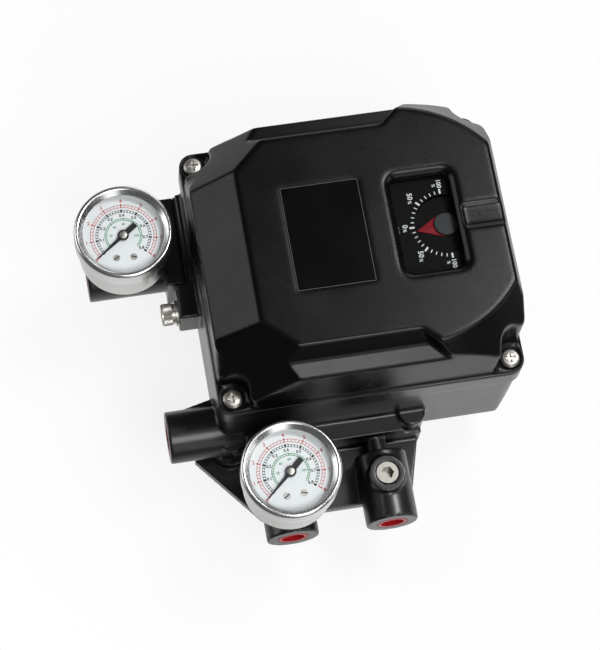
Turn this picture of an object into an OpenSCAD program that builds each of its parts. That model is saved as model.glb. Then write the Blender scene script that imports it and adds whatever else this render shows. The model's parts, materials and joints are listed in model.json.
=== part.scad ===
// Rotary valve positioner with two pressure gauges, lying on its rear face.
// Origin: axis of the feedback shaft in the plane of the rear mounting face.
// +Z points out of the cover, +X to the indicator side, +Y away from the outlet ports.

/* [Housing] */
// Width of the housing, left to right
body_w = 135.2; // [128:0.1:142]
// Height of the housing, from the outlet side to the top
body_h = 122.2; // [117:0.1:130]
// Depth of the housing, from the rear face to the cover joint
body_d = 57.6; // [54:0.1:64]
// Wall of the housing
body_wall = 4; // [3:0.25:5]
// Floor of the housing
floor_t = 5; // [4:0.25:7]
// Radius of the corner lugs that take the cover screws
lug_r = 6.4; // [5.8:0.1:7]
// Distance from the middle of the housing to the feedback shaft
shaft_offset = 39.5; // [37:0.5:41]
// Lean of the right wall at the rear face
right_lean = 4; // [2:0.5:5]
// Depth of the plain rim band under the cover joint
rim_band = 12.5; // [8:0.5:16]
// Step of the walls below the rim band
rim_step = 0.9; // [0.3:0.1:1.5]

/* [Rear mounting] */
// Spacing of the rear bolt holes along X
bolt_dx = 28; // [24:1:30]
// Spacing of the rear bolt holes along Y
bolt_dy = 60; // [54:1:70]
// Radius of the tapped rear holes (M8 tap drill)
bolt_r = 3.4; // [2.5:0.1:4]
// Depth of the tapped rear holes
bolt_depth = 12; // [10:0.5:14]
// Height of the rear bolt bosses above the rear face
bolt_boss_h = 16; // [15:0.5:20]

/* [Ports] */
// Radius of the four port bosses
boss_r = 11.7; // [11:0.1:13]
// Height of the port axes above the rear face
port_z = 16; // [14:0.5:18]
// Radius of the port threads
port_r = 6.6; // [6:0.1:7]
// Depth of the port threads
port_depth = 14; // [12:0.5:16]
// Radius of the air passages behind the port threads
passage_r = 3; // [2:0.25:4]
// Reach of the outlet bosses below the housing
outlet_reach = 47.5; // [44:0.5:54]
// Distance of the first outlet from the middle of the housing
outlet1_x = -41.5; // [-44:0.5:-38]
// Distance of the second outlet from the middle of the housing
outlet2_x = 3.2; // [0:0.1:6]
// Reach of the signal boss left of the housing
signal_reach = 21.7; // [20:0.1:28]
// Height of the signal port below the middle of the housing
signal_y = -54.8; // [-56:0.2:-52]
// Radius of the gauge port bosses
gauge_boss_r = 8.4; // [7:0.1:9]
// Distance of the gauge ports from the ends of their port bosses
gauge_back = 19.4; // [17:0.2:24]

/* [Lower extension] */
// Reach of the base plate below the housing
plate_reach = 34.5; // [30:0.5:40]
// Thickness of the base plate
plate_t = 6; // [4:0.5:8]
// Height of the ledge above the rear face
ledge_z = 21; // [18:0.5:24]
// Reach of the ledge below the housing
ledge_reach = 7.5; // [6:0.5:9]
// Radius of the half-round pillars on the lower wall
pillar_r = 6.1; // [4:0.1:6.5]
// Height of the half-round pillars above the rear face
pillar_z = 23; // [22:0.5:30]

/* [Relay block] */
// Length of the relay block along Y
relay_h = 42; // [40:0.5:50]
// Thickness of the relay block along X
relay_t = 8.4; // [8:0.2:12]
// Height of the relay block along Z
relay_d = 25; // [24:0.5:30]
// Thickness of the relay flange on the housing
relay_pad = 2; // [1.5:0.5:4]
// Middle of the relay block along Y
relay_y = 33.2; // [32:0.2:35]
// Middle of the supply port along Y
supply_y = 27.8; // [26:0.2:31]
// Height of the supply port above the rear face
supply_z = 14.2; // [13:0.1:18]
// Radius of the supply boss
supply_r = 12.3; // [11:0.1:13]
// Reach of the supply boss left of the relay block
supply_reach = 35.2; // [32:0.2:40]
// Radius of the pilot spool
spool_r = 2.8; // [2:0.1:3.2]
// Length of the pilot spool
spool_l = 26; // [20:1:28]

/* [Cover] */
// Height of the cover's top face above the cover joint
cover_h = 40.1; // [38:0.1:46]
// Wall of the cover
cover_wall = 4; // [3:0.25:5]
// Thickness of the cover's corner lugs
lug_t = 3.4; // [2.5:0.1:5]
// Inset of the cover's walls from the edge of its flange
cover_in = 1; // [0.5:0.1:2]
// Radius of the notches round the cover screws
notch_r = 7; // [6.6:0.1:8]
// Radius of the wall ends beside the notches
lobe_r = 3; // [1.5:0.25:4]
// Distance of the long ridges from the middle of the cover
ridge_y = 47.4; // [46:0.2:49]
// Distance of the left ridge from the middle of the cover
ridge_x = 47.3; // [46:0.1:48]
// Slope of the left facet
left_slope = 41.4; // [36:0.2:46]
// Slope of the two left corner facets
corner_slope = 53.4; // [48:0.2:58]
// Radius of the right corner facets at the top face
arc_r = 54.4; // [53:0.2:57]
// Distance of the arc's centre from the middle of the cover
arc_x = 19.4; // [18:0.2:21]
// Slope of the right corner facets
arc_slope = 54; // [48:0.5:60]
// Distance of the scoops' right ends from the middle of the cover
scoop_end = 18.5; // [16:0.5:21]
// Width of the window opening
window_w = 25.5; // [24:0.1:26.5]
// Height of the window opening
window_h = 43.3; // [41:0.1:45]
// Width of the bevel round the window
window_bevel = 2.6; // [2:0.1:3]
// Distance of the window from the shaft axis, to the left
window_left = 8.6; // [8:0.1:9.5]
// Width of the channel beside the window
channel_w = 10.6; // [9:0.1:12]
// Depth of the channel beside the window
channel_t = 1.3; // [0.8:0.1:1.6]
// Width of the blank label plate
label_w = 34; // [30:0.5:36]
// Height of the blank label plate
label_h = 47.4; // [44:0.2:50]
// Thickness of the blank label plate
label_t = 0.6; // [0.4:0.1:1]
// Distance of the label from the middle of the cover
label_x = -12.6; // [-14:0.2:-11]
// Thickness of the window lens flange
lens_t = 2; // [1.5:0.25:2.5]
// Thickness of the indicator plate
scale_t = 0.8; // [0.6:0.1:1.2]

/* [Fasteners] */
// Radius of the cover screws' heads
screw_head_r = 4.2; // [3.4:0.1:4.6]
// Radius of the cover screws' shanks
screw_r = 2; // [1.6:0.1:2.2]
// Length of the cover screws' shanks
screw_l = 16; // [12:1:20]
// Radius of the ground screw's head
ground_head_r = 4.8; // [4:0.1:5.5]
// Length of the ground screw's head
ground_head_l = 5; // [4:0.1:6]
// Radius of the ground screw's shank
ground_r = 3; // [2.5:0.1:3]

/* [Gauges] */
// Overhang of the gauge bezels beyond the cases
bezel_over = 1.8; // [1.2:0.1:2.5]
// Height of the gauge bezels
bezel_h = 9.8; // [8:0.2:11]
// Diameter of the gauge cases
case_od = 40; // [38:0.5:42]
// Depth of the gauge cases
case_d = 23.9; // [21:0.1:26]
// Wall of the gauge cases
case_wall = 1; // [0.8:0.1:1.5]
// Height of the wrench flats under the gauges
flats_h = 3.2; // [3:0.1:5]
// Radius of the gauge stems
stem_r = 4.85; // [4:0.05:5]
// Length of the gauge stems
stem_l = 7; // [6:0.5:8]
// Thickness of the gauge lenses
glass_t = 1.5; // [1:0.1:2]
// Module of the gauge movement's teeth
tooth_m = 0.5; // [0.45:0.05:0.5]
// Turn of the supply gauge in its port
supply_turn = -3.6; // [-10:0.2:10]
// Turn of the output gauge in its port
output_turn = 2.4; // [-10:0.2:10]

/* [Feedback shaft] */
// Radius of the feedback shaft in its bushes
shaft_r = 5; // [4.5:0.1:5.5]
// Reach of the feedback shaft below the rear face
shaft_reach = 20; // [16:1:26]
// Width across the flats at the shaft's end
shaft_flats = 7; // [6:0.25:8]
// Length of the flats at the shaft's end
flats_l = 10; // [8:0.5:12]
// Height of the shaft's bearing boss above the rear face
bearing_z = 24; // [22:0.5:28]
// Wall of the shaft bushes
bush_wall = 1.5; // [1:0.1:2]
// Thickness of the bush flange
bush_flange_t = 1.5; // [1:0.25:2]
// Turn of the pointer from the zero mark as photographed
pointer_turn = 6; // [0:1:10]

/* [Mechanism] */
// Height of the chassis plate's top face
chassis_z = 53; // [52:0.5:54]
// Thickness of the chassis plate
chassis_t = 3; // [2:0.25:4]
// Height of the middle of the mechanism above the chassis
mech_h = 14; // [13.5:0.1:15]
// Thickness of the cam
cam_t = 4; // [3:0.25:5]
// Radius of the cam roller
roller_r = 4.5; // [4:0.1:5]
// Swing of the follower arm for a half turn of the cam
follower_swing = 19; // [15:0.5:20]
// Radius of the signal capsule
capsule_r = 13; // [11:0.5:13.5]
// Length of the signal capsule
capsule_l = 12; // [11:0.5:14]
// Thickness of the balance beam
beam_t = 4; // [3:0.25:5]
// Height of the balance beam
beam_h = 10; // [8:0.5:12]
// Radius of the zero knob
knob_r = 8; // [6:0.25:8.5]
// Length of the zero knob
knob_l = 8; // [6:0.5:10]

/* [Hidden] */

$fn = 48;

// Working clearances: sliding fit, seated fit, running gap between curved faces
run = 0.03;
fit = 0.05;
gap = 0.3;
// Overrun of cutting shapes past the faces that they cut
over = 1;
far = 200;

// Middle and faces of the housing
mid_x = -shaft_offset;
left_x = mid_x - body_w / 2;
right_x = mid_x + body_w / 2;
low_y = -body_h / 2;
cover_w = body_w - 2 * cover_in;
cover_b = body_h - 2 * cover_in;
screw_dx = body_w / 2 - lug_r;
screw_dy = body_h / 2 - lug_r;
lug_top = body_d + lug_t;
pocket_t = 1.5;
pocket_r = screw_head_r + 1;
head_seat = lug_top - pocket_t;
top_z = body_d + cover_h;
roof_z = top_z - cover_wall;

// Gasket groove in the rim and the seal under the window
window_seal = 0.5;
scale_gap = 0.3;
window_corner = 3;
scale_z = roof_z - window_seal - lens_t - scale_gap - scale_t;
gasket_w = 1.6;
gasket_h = 1.8;
gasket_in = 1.2;

// Ports
outlet_end = low_y - outlet_reach;
signal_end = left_x - signal_reach;
outlet_x = [mid_x + outlet1_x, mid_x + outlet2_x];
outlet_gauge_y = outlet_end + gauge_back;
outlet_boss_l = 31.5;
gauge_seat_z = port_z + boss_r + 2.3;
neck_r = 5;
neck_z = 13.8;
neck_side = 0.6;
plug_l = 9;
plug_wall = 1.4;
plug_floor = 3;
plate_side = 24.2;
ledge_side = 15;
pillar_side = 20.2;
step_z = 14;

// Relay block on the left wall
pad_x = left_x - relay_pad;
relay_seal = 0.8;
relay_face = pad_x - relay_seal;
relay_left = relay_face - relay_t;
relay_low = 4;
supply_end = relay_left - supply_reach;
supply_gauge_x = supply_end + gauge_back - 1.7;
supply_gauge_y = supply_y + 0.8;
spool_x = relay_face - relay_t / 2;
spool_travel = 1.5;
spool_end = 6;
relay_plug_l = 6;
relay_screw_r = 2;
relay_screw_head_r = 3.5;
relay_screw_in = 11.5;
relay_screw_up = 5;
relay_bite = 6;
wall_in = left_x + body_wall;
relay_screw_below = 12;
relay_screw_y = [relay_y - relay_h / 2 + relay_screw_in, screw_dy - relay_screw_below];
relay_screw_z = relay_low + relay_screw_up;

// Ground terminal on the left wall
ground_y = 2.4;
ground_screw_y = ground_y - 2.4;
ground_z = 24.8;
ground_w = 16.5;
ground_h = 18.5;
ground_x = left_x - 8.6;
ground_bite = 9;
washer_t = 1.2;

// Gauge levels above the gauge seat
case_z = flats_h;
case_top = case_z + case_d;
case_in = case_od / 2 - case_wall;
glass_z = case_top + fit;
bezel_rise = 2.8;
bezel_top = glass_z + glass_t + fit + bezel_rise;
bezel_z = bezel_top - bezel_h;
dial_t = 0.6;
dial_z = case_top - 2.6;
socket_h = 6;
socket_top = case_z + case_wall + socket_h;
frame_t = 1;
frame_gap = 4.4;
frame_top = socket_top + frame_t + frame_gap;
staff_r = 0.8;
pinion_teeth = 8;
sector_teeth = 40;
gear_gap = tooth_m * (pinion_teeth + sector_teeth) / 2;
gear_z = socket_top + frame_t + 1;
gear_t = 2.4;
tube_r = 16;
tube_w = 1.6;
tube_h = 4;
hand_z = dial_z + dial_t + 0.7;
hand_l = 16;
hand_sweep = 260;
hand_zero = 220;

// Feedback shaft levels
recess_r = 9.5;
recess_z = 3;
bush_r = shaft_r + bush_wall;
bush_l = 8;
seal_h = 2.6;
seal_z = recess_z + bush_l + 0.2;
upper_bush_z = seal_z + seal_h + 0.2;
collar_z = bearing_z + bush_flange_t + gap;
collar_t = 3;
collar_r = shaft_r + 2.5;
upper_r = shaft_r - 1;
mech_z = chassis_z + mech_h;
cam_z = mech_z - cam_t / 2;
nut_t = 5;
hub_z = scale_z - 2.1;
disc_t = 0.8;
arrow_t = 0.6;
disc_r = 13.2;
hub_r = 4.4;
pin_r = shaft_r - 0.2;
pin_gap = 0.3;
pin_low = flats_l - shaft_reach;
tang_r = pin_r - 0.4;
clip_t = 1;
clip_z = recess_z - gap - clip_t;

// Mechanism on the chassis
post_shoulder = 7;
follower_pivot = [-24, 18];
roller_at = [-18.5, -4];
hook_at = [-24, 34];
arm_t = 3;
arm_z = chassis_z + post_shoulder + gap;
roller_pin_r = 1.5;
roller_l = cam_t - 0.4;
beam_x = -62;
beam_pivot_y = 4;
beam_end = 40;
beam_pin_r = 2;
beam_left = beam_x - beam_t / 2;
beam_right = beam_x + beam_t / 2;
signal_lever_y = -24;
nozzle_y = 34;
flapper_t = 0.6;
nozzle_gap = 0.9;
nozzle_tip = beam_left - flapper_t - nozzle_gap;
nozzle_block_x = -78;
nozzle_block_w = 10;
rod_r = 2;
capsule_right = -78;
capsule_left = capsule_right - capsule_l;
zero_y = -36;
zero_bracket_x = -46;
zero_bracket_w = 5;
zero_screw_r = 2.5;
spring_mean_r = 3;
wire_r = 0.5;
side_clear = 5;
chassis_x0 = wall_in + side_clear;
chassis_x1 = right_x - right_lean - body_wall - side_clear;
chassis_dy = 45;
pillar_x = [chassis_x0 + 9, chassis_x1 - 6];
pillar_y = 40.5;
pillar_thread = 12;
screw_bite = 8;
bracket_w = 10;
standoff_r = 3.6;

// Shapes used by several parts
module rounded_rect(w, h, r) {
    square([w - 2 * r, h], center = true);
    square([w, h - 2 * r], center = true);
    for (x = [-1, 1], y = [-1, 1])
        translate([x * (w / 2 - r), y * (h / 2 - r)])
            circle(r);
}

module at_cover_screws() {
    for (x = [-1, 1], y = [-1, 1])
        translate([mid_x + x * screw_dx, y * screw_dy, 0])
            children();
}

module x_cylinder(r, l) {
    rotate([0, 90, 0])
        cylinder(r = r, h = l);
}

module y_cylinder(r, l) {
    rotate([-90, 0, 0])
        cylinder(r = r, h = l);
}

module ring(r_out, r_in, h) {
    difference() {
        cylinder(r = r_out, h = h);
        translate([0, 0, -over])
            cylinder(r = r_in, h = h + 2 * over);
    }
}

// Straight bar with round ends between two plan points
module bar(p, q, w) {
    d = q - p;
    translate(p)
        rotate(atan2(d.y, d.x))
            translate([0, -w / 2])
                square([norm(d), w]);
    translate(p)
        circle(w / 2);
    translate(q)
        circle(w / 2);
}

module pan_head(r, h) {
    rotate_extrude()
        polygon([[0, 0], [r, 0], [r, h * 0.45], [r * 0.8, h * 0.85], [r * 0.4, h], [0, h]]);
}

module cross_recess(r, depth) {
    for (a = [0, 90])
        rotate(a)
            translate([-r, -r * 0.22, -depth])
                cube([2 * r, r * 0.44, depth + over]);
}

// Housing: one casting with the rim, the port bosses and the lower extension
module housing_shell() {
    outline_r = lug_r;
    difference() {
        union() {
            translate([mid_x, 0, 0])
                linear_extrude(body_d)
                    rounded_rect(body_w - 2 * rim_step, body_h - 2 * rim_step, outline_r);
            translate([mid_x, 0, body_d - rim_band])
                linear_extrude(rim_band)
                    rounded_rect(body_w, body_h, outline_r);
        }
        lean = atan(right_lean / (body_d - rim_band));
        translate([right_x - rim_step, -far / 2, body_d - rim_band])
            rotate([0, lean, 0])
                mirror([0, 0, 1])
                    cube([far, far, far]);
    }
}

module cavity_outline(inset, screw_clear) {
    difference() {
        translate([mid_x, 0])
            rounded_rect(body_w - 2 * inset, body_h - 2 * inset, 3);
        for (x = [-1, 1], y = [-1, 1])
            translate([mid_x + x * screw_dx, y * screw_dy])
                circle(screw_clear);
    }
}

module housing_cavity() {
    translate([0, 0, floor_t])
        linear_extrude(body_d)
            intersection() {
                cavity_outline(body_wall, lug_r + 0.6);
                translate([right_x - right_lean - body_wall - far, -far / 2])
                    square([far, far]);
            }
}

module base_plate() {
    top = low_y + lug_r;
    bottom = low_y - plate_reach;
    tip_x = left_x - 10.7;
    tip_y = signal_y - boss_r * 0.8;
    linear_extrude(plate_t)
        polygon([[left_x + 3, top], [tip_x, tip_y], [mid_x - 52.6, bottom], [mid_x + 15.6, bottom],
            [mid_x + plate_side, low_y - 4], [mid_x + plate_side, top]]);
}

module lower_extension() {
    base_plate();
    translate([mid_x - screw_dx, low_y - ledge_reach, 0])
        cube([screw_dx + ledge_side, ledge_reach + body_wall, ledge_z]);
    translate([mid_x, low_y - ledge_reach, 0])
        cube([plate_side, ledge_reach + body_wall, step_z]);
    for (x = [mid_x - screw_dx, mid_x + pillar_side])
        translate([x, low_y, 0])
            cylinder(r = pillar_r, h = pillar_z);
    translate([mid_x - screw_dx, low_y, 0])
        cylinder(r = pillar_r + 3, h = plate_t + 4);
}

module port_bosses() {
    for (x = outlet_x) {
        translate([x, outlet_end, port_z])
            y_cylinder(boss_r, outlet_boss_l);
        translate([x, outlet_gauge_y, port_z])
            cylinder(r = gauge_boss_r, h = gauge_seat_z - port_z);
        translate([x - neck_side, outlet_end + outlet_boss_l - over, neck_z])
            y_cylinder(neck_r, outlet_reach - outlet_boss_l - ledge_reach + 2 * over);
        translate([x - boss_r + 1.5, outlet_end + 14, 0])
            cube([2 * boss_r - 3, outlet_boss_l - 14, port_z]);
    }
    translate([signal_end, signal_y, port_z])
        x_cylinder(boss_r, signal_reach + 12);
    translate([left_x - 11.7, signal_y, 0])
        cube([14, boss_r, port_z]);
    translate([left_x, signal_y, port_z - 4])
        linear_extrude(8)
            polygon([[2, 0], [-signal_reach + 9, boss_r - 0.4], [0, boss_r + 2.5], [2, boss_r + 2.5]]);
}

module port_cut(depth) {
    translate([0, 0, -over])
        cylinder(r = port_r, h = port_depth + over);
    cylinder(r = passage_r, h = depth);
}

module ground_lug() {
    translate([ground_x, ground_y - ground_w / 2, ground_z - ground_h / 2])
        cube([left_x - ground_x + body_wall / 2, ground_w, ground_h]);
}

module housing() {
    pad_h = relay_h + 1;
    color([0.07, 0.07, 0.075])
        difference() {
            union() {
                difference() {
                    union() {
                        housing_shell();
                        lower_extension();
                        port_bosses();
                        ground_lug();
                        translate([pad_x, relay_y - pad_h / 2, relay_low - 2])
                            cube([relay_pad + body_wall / 2, pad_h, relay_d + 4]);
                    }
                    housing_cavity();
                }
                cylinder(r = recess_r + 2.5, h = bearing_z);
                for (x = [-1, 1], y = [-1, 1])
                    translate([x * bolt_dx / 2, y * bolt_dy / 2, 0])
                        cylinder(r = bolt_r + 4, h = bolt_boss_h);
            }
            translate([0, 0, -over])
                cylinder(r = bush_r + fit, h = bearing_z + 2 * over);
            translate([0, 0, -over])
                cylinder(r = recess_r, h = recess_z + over);
            for (x = [-1, 1], y = [-1, 1])
                translate([x * bolt_dx / 2, y * bolt_dy / 2, -over])
                    cylinder(r = bolt_r, h = bolt_depth + over);
            for (x = outlet_x) {
                translate([x, outlet_end, port_z])
                    rotate([-90, 0, 0])
                        port_cut(outlet_boss_l - 6);
                translate([x, outlet_gauge_y, gauge_seat_z - stem_l - 1])
                    cylinder(r = stem_r + fit, h = stem_l + 1 + over);
            }
            translate([signal_end, signal_y, port_z])
                rotate([0, 90, 0])
                    port_cut(signal_reach);
            translate([ground_x - over, ground_screw_y, ground_z])
                x_cylinder(ground_r + fit, ground_bite + 2 * over);
            for (y = relay_screw_y)
                translate([pad_x - over, y, relay_screw_z])
                    x_cylinder(relay_screw_r + fit, wall_in - pad_x + 2 * over);
            at_cover_screws()
                translate([0, 0, head_seat - screw_l - over])
                    cylinder(r = screw_r + fit, h = screw_l + lug_t);
            translate([0, 0, body_d - gasket_h])
                gasket_ring(gasket_h + over, fit);
        }
}

module gasket_ring(h, play) {
    linear_extrude(h)
        difference() {
            cavity_outline(gasket_in - play, screw_r + gasket_in - play);
            cavity_outline(gasket_in + gasket_w + play, screw_r + gasket_in + gasket_w + play);
        }
}

module cover_gasket() {
    color([0.12, 0.12, 0.13])
        translate([0, 0, body_d - gasket_h])
            gasket_ring(gasket_h, 0);
}

// Cover: faceted hood with scooped long edges and notched corners
module facet_cut(x, y, turn, slope, inset) {
    translate([mid_x + x, y, top_z])
        rotate([0, 0, turn])
            rotate([0, slope, 0])
                translate([-far / 4, -far / 2, -inset])
                    cube([far, far, far]);
}

module scoop_cut(inset) {
    wall_y = cover_b / 2 - inset;
    floor_y = ridge_y + 4.1 - inset;
    lip_y = wall_y - 1.8;
    lip_z = top_z - 11.8 - inset;
    rise = 40;
    intersection() {
        translate([mid_x - body_w, 0, 0])
            rotate([90, 0, 90])
                linear_extrude(2 * body_w)
                    polygon([[ridge_y - inset * 0.45, top_z - inset], [floor_y, top_z - 9 - inset],
                        [lip_y, lip_z], [wall_y, lip_z - 1.8], [wall_y + rise, lip_z - 1.8],
                        [wall_y + rise, top_z + rise], [ridge_y - inset * 0.45, top_z + rise]]);
        linear_extrude(2 * top_z)
            polygon([[mid_x - body_w, 0], [mid_x + scoop_end + inset, 0],
                [mid_x + scoop_end + inset, ridge_y], [mid_x + scoop_end + rise * 1.15, ridge_y + rise],
                [mid_x - body_w, ridge_y + rise]]);
    }
}

module arc_cut(inset) {
    drop = cover_h + over;
    r_top = arc_r - inset / sin(arc_slope);
    translate([mid_x + arc_x, 0, top_z])
        difference() {
            translate([3, -far / 2, -drop])
                cube([far, far, drop + over]);
            rotate_extrude($fn = 96)
                polygon([[0, over], [r_top - over / tan(arc_slope), over],
                    [r_top + (drop + over) / tan(arc_slope), -drop - over], [0, -drop - over]]);
        }
}

// Plan of one notch, with the outer corner of the cover towards +X and +Y
module corner_notch(inset) {
    r = notch_r + inset;
    wall_at = lug_r - cover_in;
    circle(r);
    translate([0, -r])
        square([far, 2 * r]);
    translate([-r, 0])
        square([2 * r, far]);
    if (inset == 0)
        for (turn = [0, 1])
            mirror([turn, -turn])
                translate([wall_at - lobe_r, -r - lobe_r])
                    difference() {
                        square(lobe_r + over);
                        circle(lobe_r);
                    }
}

module cover_form(inset) {
    facet_line = [-40.6, 40.85];
    draft = 1.9;
    draft_slope = 87;
    difference() {
        translate([mid_x, 0, body_d])
            linear_extrude(cover_h - inset)
                difference() {
                    rounded_rect(cover_w - 2 * inset, cover_b - 2 * inset, lug_r - min(inset, 2));
                    for (x = [0, 1], y = [0, 1])
                        mirror([x, 0])
                            mirror([0, y])
                                translate([screw_dx, screw_dy])
                                    corner_notch(inset);
                }
        facet_cut(-ridge_x, 0, 180, left_slope, inset);
        for (s = [-1, 1]) {
            facet_cut(facet_line.x, s * facet_line.y, s * 132.2, corner_slope, inset);
            mirror([0, s < 0 ? 1 : 0, 0])
                scoop_cut(inset);
            facet_cut(0, s * (cover_b / 2 - draft), s * 90, draft_slope, inset);
        }
        facet_cut(cover_w / 2 - 2.9, 0, 0, 70, inset);
        arc_cut(inset);
    }
}

module window_at() {
    translate([-window_left, 0, 0])
        children();
}

// Rounded opening that widens by spread over the height h
module window_flare(h, spread) {
    half_x = window_w / 2;
    half_y = window_h / 2;
    flat_x = half_x - window_corner;
    flat_y = half_y - window_corner;
    translate([-flat_x, 0, 0])
        rotate([90, 0, 90])
            linear_extrude(2 * flat_x)
                polygon([[-half_y, 0], [half_y, 0], [half_y + spread, h], [-half_y - spread, h]]);
    translate([0, flat_y, 0])
        rotate([90, 0, 0])
            linear_extrude(2 * flat_y)
                polygon([[-half_x, 0], [half_x, 0], [half_x + spread, h], [-half_x - spread, h]]);
    for (x = [-flat_x, flat_x], y = [-flat_y, flat_y])
        translate([x, y, 0])
            cylinder(r1 = window_corner, r2 = window_corner + spread, h = h);
}

module cover() {
    bevel_t = 2.4;
    color([0.1, 0.1, 0.105])
        difference() {
            union() {
                cover_form(0);
                translate([mid_x, 0, body_d])
                    linear_extrude(lug_t)
                        rounded_rect(body_w, body_h, lug_r);
            }
            translate([0, 0, -over])
                intersection() {
                    translate([0, 0, over])
                        cover_form(cover_wall);
                    translate([mid_x - body_w, -body_h, body_d])
                        cube([2 * body_w, 2 * body_h, far]);
                }
            translate([0, 0, body_d - over])
                linear_extrude(lug_t + over)
                    cavity_outline(cover_wall + cover_in, notch_r + 2);
            at_cover_screws() {
                translate([0, 0, body_d - over])
                    cylinder(r = screw_r + fit, h = lug_t + 2 * over);
                translate([0, 0, head_seat])
                    cylinder(r = pocket_r, h = pocket_t + over);
            }
            window_at() {
                translate([0, 0, roof_z - over])
                    linear_extrude(cover_wall + 2 * over)
                        rounded_rect(window_w, window_h, window_corner);
                translate([0, 0, top_z - bevel_t])
                    window_flare(bevel_t * 1.4, window_bevel * 1.4);
            }
            translate([window_w / 2 + window_bevel - window_left, -channel_w / 2, top_z - channel_t])
                cube([body_w, channel_w, channel_t + over]);
            translate([mid_x + label_x, 0, top_z - label_t / 2])
                linear_extrude(label_t)
                    square([label_w + 2 * fit, label_h + 2 * fit], center = true);
        }
}

module cover_screws() {
    color([0.75, 0.75, 0.74])
        at_cover_screws() {
            translate([0, 0, head_seat])
                difference() {
                    pan_head(screw_head_r, 2.6);
                    translate([0, 0, 2.6])
                        cross_recess(screw_head_r * 0.55, 1.5);
                }
            translate([0, 0, head_seat - screw_l])
                cylinder(r = screw_r, h = screw_l + fit);
        }
}

module window_lens() {
    flange_z = roof_z - window_seal - lens_t;
    color([0.2, 0.22, 0.23, 0.5])
        window_at() {
            translate([0, 0, flange_z])
                linear_extrude(lens_t)
                    rounded_rect(window_w + 7, window_h + 7, 4);
            translate([0, 0, flange_z])
                linear_extrude(top_z - 2.6 - flange_z)
                    rounded_rect(window_w - 0.4, window_h - 0.4, 2.8);
        }
}

module window_gasket() {
    color([0.05, 0.05, 0.05])
        window_at()
            translate([0, 0, roof_z - window_seal])
                linear_extrude(window_seal)
                    difference() {
                        rounded_rect(window_w + 7, window_h + 7, 4);
                        rounded_rect(window_w + 1, window_h + 1, 3.2);
                    }
}

module indicator_plate() {
    color([0.06, 0.06, 0.065])
        difference() {
            window_at()
                translate([0, 0, scale_z])
                    linear_extrude(scale_t)
                        rounded_rect(window_w + 5, window_h + 5, 3);
            translate([0, 0, scale_z - over])
                cylinder(r = disc_r + 0.2, h = scale_t + 2 * over, $fn = 72);
        }
}

module label_plate() {
    color([0.03, 0.03, 0.03])
        translate([mid_x + label_x, 0, top_z - label_t / 2])
            linear_extrude(label_t)
                square([label_w, label_h], center = true);
}

// Relay block on the left wall with the supply boss and the pilot spool
module spool_bore() {
    translate([spool_x, relay_y - relay_h / 2 + spool_end, relay_low + relay_d / 2])
        y_cylinder(spool_r + run, relay_h);
}

module relay_block() {
    color([0.08, 0.08, 0.085])
        difference() {
            union() {
                translate([relay_left, relay_y - relay_h / 2, relay_low])
                    cube([relay_t, relay_h, relay_d]);
                translate([supply_end, supply_y, supply_z])
                    x_cylinder(supply_r, supply_reach + relay_t - 1);
                translate([supply_gauge_x, supply_gauge_y, supply_z])
                    cylinder(r = gauge_boss_r, h = gauge_seat_z - supply_z);
            }
            translate([supply_end, supply_y, supply_z])
                rotate([0, 90, 0])
                    port_cut(supply_reach + relay_t / 2);
            translate([supply_gauge_x, supply_gauge_y, gauge_seat_z - stem_l - 1])
                cylinder(r = stem_r + fit, h = stem_l + 1 + over);
            spool_bore();
            translate([spool_x, relay_y + relay_h / 2 - relay_plug_l, relay_low + relay_d / 2])
                y_cylinder(spool_r + 0.8 + fit, relay_plug_l + over);
            for (y = relay_screw_y)
                translate([relay_face - relay_bite - over, y, relay_screw_z])
                    x_cylinder(relay_screw_r + fit, relay_bite + 2 * over);
        }
}

module relay_gasket() {
    color([0.1, 0.1, 0.1])
        difference() {
            translate([relay_face, relay_y - relay_h / 2, relay_low])
                cube([relay_seal, relay_h, relay_d]);
            for (y = relay_screw_y)
                translate([relay_face - over, y, relay_screw_z])
                    x_cylinder(relay_screw_r + fit, relay_seal + 2 * over);
        }
}

module relay_screws() {
    head_l = 4;
    grip = wall_in - relay_face + relay_bite;
    color([0.3, 0.3, 0.31])
        for (y = relay_screw_y)
            translate([wall_in, y, relay_screw_z])
                difference() {
                    union() {
                        x_cylinder(relay_screw_head_r, head_l);
                        translate([-grip, 0, 0])
                            x_cylinder(relay_screw_r, grip + fit);
                    }
                    translate([head_l - 2, 0, 0])
                        rotate([0, 90, 0])
                            cylinder(r = relay_screw_head_r * 0.55, h = 2 + over, $fn = 6);
                }
}

module relay_plug() {
    color([0.35, 0.33, 0.3])
        translate([spool_x, relay_y + relay_h / 2 - relay_plug_l, relay_low + relay_d / 2])
            difference() {
                y_cylinder(spool_r + 0.8, relay_plug_l);
                translate([-spool_r - over, relay_plug_l - 1, -0.4])
                    cube([2 * spool_r + 2 * over, 2, 0.8]);
            }
}

module pilot_spool() {
    land_l = 5;
    start = relay_y - relay_h / 2 + spool_end + spool_travel + 0.5;
    color([0.7, 0.7, 0.72])
        translate([spool_x, start, relay_low + relay_d / 2]) {
            y_cylinder(spool_r * 0.6, spool_l);
            for (i = [0 : 2])
                translate([0, i * (spool_l - land_l) / 2, 0])
                    y_cylinder(spool_r, land_l);
        }
}

// Dust plugs in the four ports
module port_plug() {
    difference() {
        cylinder(r = port_r - fit, h = plug_l);
        translate([0, 0, -over])
            cylinder(r = port_r - fit - plug_wall, h = plug_l - plug_floor + over);
    }
}

module port_plugs() {
    color([0.75, 0.08, 0.08]) {
        for (x = outlet_x)
            translate([x, outlet_end, port_z])
                rotate([-90, 0, 0])
                    port_plug();
        translate([signal_end, signal_y, port_z])
            rotate([0, 90, 0])
                port_plug();
        translate([supply_end, supply_y, supply_z])
            rotate([0, 90, 0])
                port_plug();
    }
}

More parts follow.
